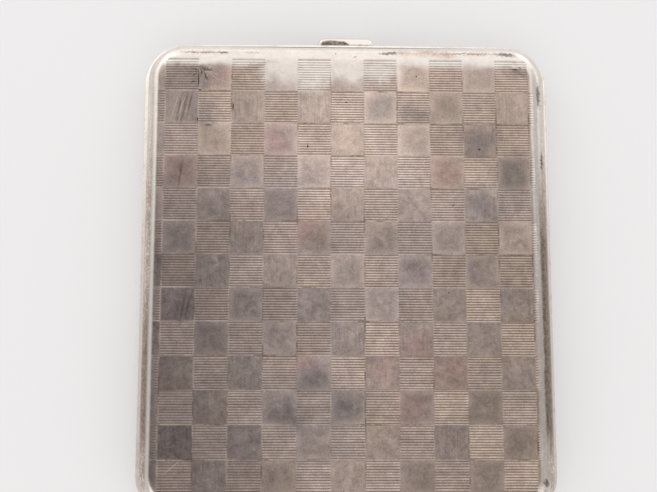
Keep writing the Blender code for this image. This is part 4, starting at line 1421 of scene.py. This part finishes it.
class CASE_OT_hinge(bpy.types.Operator):
    """Build the hinge: coved bearers, tubes with their solder, and the pin"""

    bl_idname = "case.hinge"
    bl_label = "Hinge"

    def execute(self, context):
        sides = context.scene.case_shape.tube_sides
        silver = finish_of(context, sterling_rubbed)
        nickel = finish_of(context, nickel_silver_rolled)
        tube_low, tube_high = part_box(TUBES[0])
        radius = (tube_high.z - tube_low.z) / 2
        build_bearers(silver, radius + COVE_GAP)
        for name in TUBES:
            build_tube(silver, name, radius, radius + COVE_GAP, sides)

        pin_radius = PIN_HIGH.z - HINGE.z
        dome = [(PIN_HIGH.x - PIN_DOME * (1 - math.sin(a)), pin_radius * math.cos(a)) for a in PIN_TURNS]
        dome.append((PIN_HIGH.x, 0))
        bm = bmesh.new()
        turned_form(bm, [(-x, r) for x, r in reversed(dome)] + dome, HINGE, sides, Vector((1, 0, 0)))
        finished_piece(bm, "hinge_pin_wire", "base", [nickel], ["hinge_pin"])
        return {"FINISHED"}


# Catch

# Rounding of the push bar's ends, seen from above, and of its upper and lower edges
BAR_TIP, BAR_EDGE, BAR_STEPS = 1.7 * MM, 1.1 * MM, 8
# Radii of the shank's neck and of its collar
SHANK_NECK, SHANK_COLLAR = 0.6 * MM, 1.05 * MM
# Widths of the shank's domed head as shares of its rim, then places along the shank from its end: the
# dome's crown, both sides of the rim and both sides of the collar
SHANK_DOME_SHARES = (0.45, 0.8)
SHANK_LEVELS = (0.1 * MM, 0.25 * MM, 0.4 * MM, 1.4 * MM, 1.8 * MM)
# Half of the leaf spring's middle piece, and the flat length at each of its ends
SPRING_MIDDLE, SPRING_FLAT = 3.2 * MM, 4.5 * MM
SPRING_BOW = 0.8 * MM
# Thickness of the spring's strip, rounding of its edges, steps along each piece and its upper edge's Z
SPRING_STRIP, SPRING_EDGE, SPRING_STEPS = 0.4 * MM, 0.1 * MM, 20
STRIP_TOP_Z = 4.4 * MM
# The hooked lip: half its width, the thickness of its hook and its foot's reach down into the strip, then
# its bend and chamfer, and how far the hook reaches over the keeper's barb
LIP_HALF, LIP_SHEET, LIP_OVERLAP = 2.5 * MM, 0.35 * MM, 0.3 * MM
LIP_BEND, LIP_CHAMFER = 0.12 * MM, 0.1 * MM
HOOK_OVER_BARB = 0.4 * MM
HOOK_Y = KEEPER_LOW.y + HOOK_OVER_BARB
# A rivet's radius between its heads, and the thickness of a head
RIVET_NECK, RIVET_HEAD = 0.5 * MM, 0.35 * MM
# Along a rivet's dome from its end, and the share of its radius there
RIVET_DOME_SHARES = ((0.0, 0.5), (0.12 * MM, 0.8), (0.28 * MM, 1.0))
# Height of the keeper's barb, thickness of its stem, slope of its nose and rounding of its edges
KEEPER_BARB, KEEPER_STEM, KEEPER_SLOPE, KEEPER_EDGE = 0.5 * MM, 0.6 * MM, 0.2 * MM, 0.05 * MM


def spring_line(x):
    """Y of the leaf spring's outer side at x."""
    share = min(abs(x) / (SPRING_HIGH.x - SPRING_FLAT), 1)
    return SPRING_HIGH.y - SPRING_BOW * (1 + math.cos(math.pi * share)) / 2


class CASE_OT_push_bar(bpy.types.Operator):
    """Build the domed push bar and its riveted shank"""

    bl_idname = "case.push_bar"
    bl_label = "Push bar"

    def execute(self, context):
        thumbed, rubbed = (finish_of(context, make) for make in (sterling_thumbed, sterling_rubbed))
        bm = bmesh.new()
        bmesh.ops.create_cube(bm, size=1)
        bmesh.ops.scale(bm, vec=BAR_HIGH - BAR_LOW, verts=bm.verts)
        bmesh.ops.translate(bm, vec=(BAR_HIGH + BAR_LOW) / 2, verts=bm.verts)
        tips = [
            e for e in bm.edges
            if e.verts[0].co.xy == e.verts[1].co.xy and e.verts[0].co.y == BAR_HIGH.y
        ]
        soften(bm, tips, BAR_TIP, BAR_STEPS)
        outline = [
            e for e in bm.edges
            if e.verts[0].co.z == e.verts[1].co.z and max(v.co.y for v in e.verts) > BAR_LOW.y
        ]
        soften(bm, outline, BAR_EDGE, BAR_STEPS)
        finished_piece(bm, "push_bar", "thumb", [thumbed], ["thumb_piece"])

        middle = Vector((0, 0, (SHANK_LOW.z + SHANK_HIGH.z) / 2))
        head = SHANK_HIGH.z - middle.z
        low = SHANK_LOW.y
        crown_y, rim_y, neck_y, collar_y, collar_end = (low + level for level in SHANK_LEVELS)
        profile = [
            (low, 0), (low, head * SHANK_DOME_SHARES[0]), (crown_y, head * SHANK_DOME_SHARES[1]),
            (rim_y, head), (neck_y, head), (neck_y, SHANK_NECK), (collar_y, SHANK_NECK),
            (collar_y, SHANK_COLLAR), (collar_end, SHANK_COLLAR), (collar_end, SHANK_NECK),
            (BAR_LOW.y, SHANK_NECK), (BAR_LOW.y, 0),
        ]
        bm = bmesh.new()
        turned_form(bm, profile, middle, context.scene.case_shape.tube_sides, Vector((0, 1, 0)))
        finished_piece(bm, "push_bar_shank", "thumb", [rubbed], ["thumb_shank"])
        return {"FINISHED"}


def hooked_lip(bm):
    """The lip that stands on the spring's middle and reaches over the keeper's barb."""
    front = spring_line(0)
    back = front - SPRING_STRIP
    foot, under, top = STRIP_TOP_Z - LIP_OVERLAP, SPRING_HIGH.z - LIP_SHEET, SPRING_HIGH.z
    outline = [
        (back, foot), (front, foot), (front, under), (HOOK_Y, under),
        (HOOK_Y, top - LIP_CHAMFER), (HOOK_Y - LIP_CHAMFER, top), (back + LIP_BEND, top),
        (back, top - LIP_BEND),
    ]
    prism_form(bm, outline, -LIP_HALF, LIP_HALF)


def build_rivet(silver, side, sides):
    """A rivet with a domed head at both ends, through the spring and the bezel."""
    node = "catch_rivet_" + side
    low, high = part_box(node)
    middle = Vector(((low.x + high.x) / 2, 0, (low.z + high.z) / 2))
    head = high.z - middle.z
    inner = [(low.y, 0)] + [(low.y + along, head * share) for along, share in RIVET_DOME_SHARES]
    inner += [(low.y + RIVET_HEAD, head), (low.y + RIVET_HEAD, RIVET_NECK)]
    outer = [(low.y + high.y - along, radius) for along, radius in reversed(inner)]
    bm = bmesh.new()
    turned_form(bm, inner + outer, middle, sides, Vector((0, 1, 0)))
    finished_piece(bm, "rivet_" + side, "base", [silver], [node])


class CASE_OT_catch_spring(bpy.types.Operator):
    """Build the leaf spring in three pieces, of which the middle one rides on the push bar"""

    bl_idname = "case.catch_spring"
    bl_label = "Catch spring"

    def execute(self, context):
        nickel, silver = (finish_of(context, make) for make in (nickel_silver_rolled, sterling_rubbed))
        ends = {
            "left": (-SPRING_HIGH.x, -SPRING_MIDDLE), "middle": (-SPRING_MIDDLE, SPRING_MIDDLE),
            "right": (SPRING_MIDDLE, SPRING_HIGH.x),
        }
        section = rounded_section((-SPRING_STRIP, SPRING_LOW.z), (0, STRIP_TOP_Z), SPRING_EDGE, 2)
        for side, (start, end) in ends.items():
            bm = bmesh.new()
            places = [start + (end - start) * i / SPRING_STEPS for i in range(SPRING_STEPS + 1)]
            join_rings(bm, [
                [bm.verts.new((x, spring_line(x) + across, z)) for across, z in section] for x in places
            ])
            name = "catch_spring_" + side
            if side == "middle":
                hooked_lip(bm)
                finished_piece(bm, name, "thumb", [nickel], ["catch_spring"])
                continue
            piece = finished_piece(bm, name, None, [nickel])
            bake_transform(piece)

        for side in ("left", "right"):
            build_rivet(silver, side, context.scene.case_shape.tube_sides)
        return {"FINISHED"}


class CASE_OT_keeper(bpy.types.Operator):
    """Build the lid's tongue, whose barb the catch spring holds"""

    bl_idname = "case.keeper"
    bl_label = "Keeper"

    def execute(self, context):
        silver = finish_of(context, sterling_rubbed)
        low, high = KEEPER_LOW, KEEPER_HIGH
        stem_y, barb_z = high.y - KEEPER_STEM, low.z + KEEPER_BARB
        outline = [
            (high.y, low.z), (high.y, high.z), (stem_y, high.z), (stem_y, barb_z), (low.y, barb_z),
            (low.y, low.z + KEEPER_SLOPE), (low.y + KEEPER_SLOPE, low.z),
        ]
        bm = bmesh.new()
        prism_form(bm, outline, low.x, high.x)
        soften(bm, [e for e in bm.edges if e.calc_face_angle(0) > 1], KEEPER_EDGE)
        finished_piece(bm, "keeper_tongue", "lid", [silver], ["lid_keeper"])
        return {"FINISHED"}


# Strap

# Length of each folded tail, and how far its middle line lies below the strap's top
TAIL, TAIL_BELOW = 9.0 * MM, 1.05 * MM
# The tail lies flat for this far from its end, then slopes to the loop
TAIL_FLAT, TAIL_STEPS, TAIL_SLOPE_STEPS = 4.0 * MM, 8, 9
# The middle line's radius and steps round a loop, and the distance between its points across the top
WRAP_RADIUS, WRAP_STEPS, TOP_STEP = 0.95 * MM, 16, 0.8 * MM
LOOP_Y = (LOOP_LOW.y + LOOP_HIGH.y) / 2
LOOP_RADIUS = (LOOP_HIGH.y - LOOP_LOW.y) / 2
LOOP_BAR_Z = LOOP_HIGH.z - LOOP_RADIUS
# Steps across a rib, the webbing's thickness between ribs and at its sides, and steps to full thickness
RIB_STEPS, BETWEEN_SHARE, SIDE_SHARE, SIDE_STEPS = 4, 0.72, 0.5, 1.5
# Stitches cross both layers in two rows at each fold, this far from the loop
STITCH_ROWS = (3.6 * MM, 7.6 * MM)
STITCHES, STITCH_STEPS, STITCH_INSET, THREAD_RADIUS, THREAD_SIDES = 6, 8, 0.6 * MM, 0.11 * MM, 8
STITCH_ABOVE, STITCH_BELOW, STITCH_STEEPNESS = 0.03 * MM, 1.38 * MM, 2.2
# Radius and steps of a loop's bends, and facets round its wire
LOOP_BEND, LOOP_BEND_STEPS, LOOP_SIDES = 0.9 * MM, 8, 20
# Up a foot's cone of solder, and its width there as a share of the wire's
FOOT_SHARES = ((0, 0), (0, 2), (0.12 * MM, 1.5), (0.45 * MM, 1.02), (0.45 * MM, 0))


def strap_line():
    """The strap's middle line in Y and Z: tail, round the front loop, across, round the back loop, tail."""
    tail_z, low_z = STRAP_HIGH.z - TAIL_BELOW, LOOP_BAR_Z - WRAP_RADIUS
    line = [Vector((LOOP_Y - TAIL + TAIL_FLAT * i / TAIL_STEPS, tail_z)) for i in range(TAIL_STEPS + 1)]
    for i in range(1, TAIL_SLOPE_STEPS):
        share = i / TAIL_SLOPE_STEPS
        y = LOOP_Y - (TAIL - TAIL_FLAT) * (1 - share)
        line.append(Vector((y, tail_z + (low_z - tail_z) * smooth(share))))
    line += round_way(Vector((LOOP_Y, LOOP_BAR_Z)), WRAP_RADIUS, -90, 90, WRAP_STEPS)
    count = round(2 * LOOP_Y / TOP_STEP)
    for i in range(1, count // 2):
        line.append(Vector((LOOP_Y * (1 - 2 * i / count), LOOP_BAR_Z + WRAP_RADIUS)))
    return line + [Vector((-y, z)) for y, z in reversed(line)]


def build_webbing(rayon, shape):
    """The woven elastic: ribs over its rubber cords, thinner between them and at its sides."""
    count = shape.strap_ribs * RIB_STEPS
    section = []
    for i in range(count + 1):
        swell = 0.5 - 0.5 * math.cos(2 * math.pi * i / RIB_STEPS)
        from_side = min(1, min(i, count - i) / SIDE_STEPS)
        rib = BETWEEN_SHARE + (1 - BETWEEN_SHARE) * swell
        side = SIDE_SHARE + (1 - SIDE_SHARE) * from_side
        section.append((STRAP_HIGH.x * (2 * i / count - 1), shape.strap_thickness / 2 * rib * side))
    section += [(x, -thick) for x, thick in reversed(section)]
    line = strap_line()
    bm = bmesh.new()
    rings = []
    for i, point in enumerate(line):
        across = heading_at(line, i).orthogonal()
        places = [(x, point + across * rise) for x, rise in section]
        rings.append([bm.verts.new((x, place.x, place.y)) for x, place in places])
    join_rings(bm, rings)
    finished_piece(bm, "strap_webbing", "base", [rayon], ["elastic_strap"], sharp=70)


def build_stitching(cotton):
    """Rows of thread that go over and under both layers of the folded tails."""
    top_z, under_z = STRAP_HIGH.z + STITCH_ABOVE, STRAP_HIGH.z - STITCH_BELOW
    reach = STRAP_HIGH.x - STITCH_INSET
    count = STITCHES * STITCH_STEPS
    bm = bmesh.new()
    for y in [side * (LOOP_Y - row) for side in (1, -1) for row in STITCH_ROWS]:
        points = []
        for i in range(count + 1):
            swing = math.cos(math.pi * STITCHES * i / count)
            level = 0.5 + 0.5 * math.copysign(min(1, abs(swing) * STITCH_STEEPNESS), swing)
            points.append(Vector((reach * (2 * i / count - 1), y, under_z + (top_z - under_z) * level)))
        wire_form(bm, points, THREAD_RADIUS, THREAD_SIDES)
    finished_piece(bm, "strap_stitching", "base", [cotton], sharp=60)


def build_loop(silver, name, floor_z):
    """A wire staple that the strap wraps, with a cone of solder at each foot."""
    low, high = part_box(name)
    y, leg_x = (low.y + high.y) / 2, high.x - LOOP_RADIUS
    bend = round_way(Vector((leg_x - LOOP_BEND, LOOP_BAR_Z - LOOP_BEND)), LOOP_BEND, 0, 90, LOOP_BEND_STEPS)
    leg = [Vector((x, y, z)) for x, z in [(leg_x, floor_z), *bend]]
    bm = bmesh.new()
    wire_form(bm, leg + [Vector((-p.x, p.y, p.z)) for p in reversed(leg)], LOOP_RADIUS, LOOP_SIDES)
    foot = [(along, LOOP_RADIUS * share) for along, share in FOOT_SHARES]
    for x in (-leg_x, leg_x):
        turned_form(bm, foot, Vector((x, y, floor_z)), LOOP_SIDES, Vector((0, 0, 1)))
    finished_piece(bm, name + "_wire", "base", [silver], [name])


class CASE_OT_strap(bpy.types.Operator):
    """Build the woven elastic strap with its sewn folds, and its two wire loops"""

    bl_idname = "case.strap"
    bl_label = "Strap and loops"

    def execute(self, context):
        shape = context.scene.case_shape
        build_webbing(finish_of(context, rayon_woven), shape)
        build_stitching(finish_of(context, cotton_thread))
        for name in ("strap_loop_front", "strap_loop_back"):
            build_loop(finish_of(context, sterling_rubbed), name, shape.sheet)
        return {"FINISHED"}


# Stage

# Half the paper's width, in metres
PAPER_HALF = 2.0
# Each lamp's name and brightness, where it stands and aims, and its width and height, in metres
LAMPS = (
    ("far_lamp", "far_lamp", (0, 0.49, 0.44), (0, 0.108, 0.202), 1.2, 0.97),
    ("left_lamp", "far_lamp", (-0.4, 0.36, 0.24), (-0.03, 0.03, 0), 0.5, 0.4),
    ("near_lamp", "near_lamp", (0, -0.44, 0.45), (0, 0, 0), 1.6, 0.45),
    ("right_lamp", "right_lamp", (0.42, 0.34, 0.13), (0.04, 0.03, 0.005), 0.5, 0.2),
)
# The camera's sensor in mm, and how near the camera sees things
SENSOR_WIDTH = 36
NEAREST_SEEN = 10 * MM


def add_to_scene(name, data):
    """An object that shows the given data."""
    thing = bpy.data.objects.new(name, data)
    bpy.context.scene.collection.objects.link(thing)
    return thing


def add_lamp(name, brightness, place, aim, width, height):
    """A soft lamp whose face shows at the given brightness."""
    data = bpy.data.lights.new(name, "AREA")
    data.shape = "RECTANGLE"
    data.size, data.size_y = width, height
    data.energy = brightness * math.pi * width * height
    lamp = add_to_scene(name, data)
    lamp.location = place
    lamp.rotation_euler = (Vector(aim) - Vector(place)).to_track_quat("-Z", "Y").to_euler()


class CASE_OT_stage(bpy.types.Operator):
    """Build the paper, the soft lamps, the room's light and the camera"""

    bl_idname = "case.stage"
    bl_label = "Stage"

    def execute(self, context):
        stage = context.scene.case_stage
        scene = context.scene
        bm = bmesh.new()
        bmesh.ops.create_grid(bm, x_segments=1, y_segments=1, size=PAPER_HALF)
        mesh = bpy.data.meshes.new("paper")
        bm.to_mesh(mesh)
        bm.free()
        mesh.materials.append(paper_matt(stage))
        paper = add_to_scene("paper", mesh)
        paper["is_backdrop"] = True
        for name, brightness, *placing in LAMPS:
            add_lamp(name, getattr(stage, brightness), *placing)

        world = bpy.data.worlds.new("room")
        scene.world = world
        world.use_nodes = True
        light = world.node_tree.nodes["Background"]
        light.inputs["Strength"].default_value = stage.sky
        light.inputs["Color"].default_value = (1, 1, 1, 1)

        camera = bpy.data.cameras.new("photo_camera")
        camera.sensor_width = SENSOR_WIDTH
        camera.lens = stage.lens
        camera.clip_start = NEAREST_SEEN
        view = (Vector(stage.camera_aim) - Vector(stage.camera_place)).normalized()
        right = view.cross(Vector((0, 1, 0))).normalized()
        turn = Matrix((right, right.cross(view), -view)).transposed().to_4x4()
        scene.camera = add_to_scene("photo_camera", camera)
        scene.camera.matrix_world = Matrix.Translation(stage.camera_place) @ turn
        scene.view_settings.view_transform = "Standard"
        return {"FINISHED"}


BUILD_ORDER = (
    CASE_OT_lid_pan, CASE_OT_base_pan, CASE_OT_mouth_frames, CASE_OT_bezels, CASE_OT_hinge,
    CASE_OT_push_bar, CASE_OT_catch_spring, CASE_OT_keeper, CASE_OT_strap, CASE_OT_stage,
)


class CASE_PT_panel(bpy.types.Panel):
    """Lists the steps that build the case"""

    bl_idname = "CASE_PT_panel"
    bl_label = "Cigarette case"
    bl_space_type = "VIEW_3D"
    bl_region_type = "UI"
    bl_category = "Case"

    def draw(self, context):
        for step in BUILD_ORDER:
            self.layout.operator(step.bl_idname)
        for group in (context.scene.case_shape, context.scene.case_finish, context.scene.case_stage):
            box = self.layout.box()
            for name in group.__annotations__:
                box.prop(group, name)


CLASSES = (CaseShape, CaseFinish, CaseStage, *BUILD_ORDER, CASE_PT_panel)


def register():
    for item in CLASSES:
        bpy.utils.register_class(item)
    bpy.types.Scene.case_shape = PointerProperty(type=CaseShape)
    bpy.types.Scene.case_finish = PointerProperty(type=CaseFinish)
    bpy.types.Scene.case_stage = PointerProperty(type=CaseStage)


def unregister():
    del bpy.types.Scene.case_stage
    del bpy.types.Scene.case_finish
    del bpy.types.Scene.case_shape
    for item in reversed(CLASSES):
        bpy.utils.unregister_class(item)


def main():
    register()
    for step in BUILD_ORDER:
        group, name = step.bl_idname.split(".")
        getattr(getattr(bpy.ops, group), name)()
    boxes = {"cad": CAD_BOX, "visual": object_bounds()}
    {key: [list(corner) for corner in box] for key, box in boxes.items()}


if __name__ == "__main__":
    main()
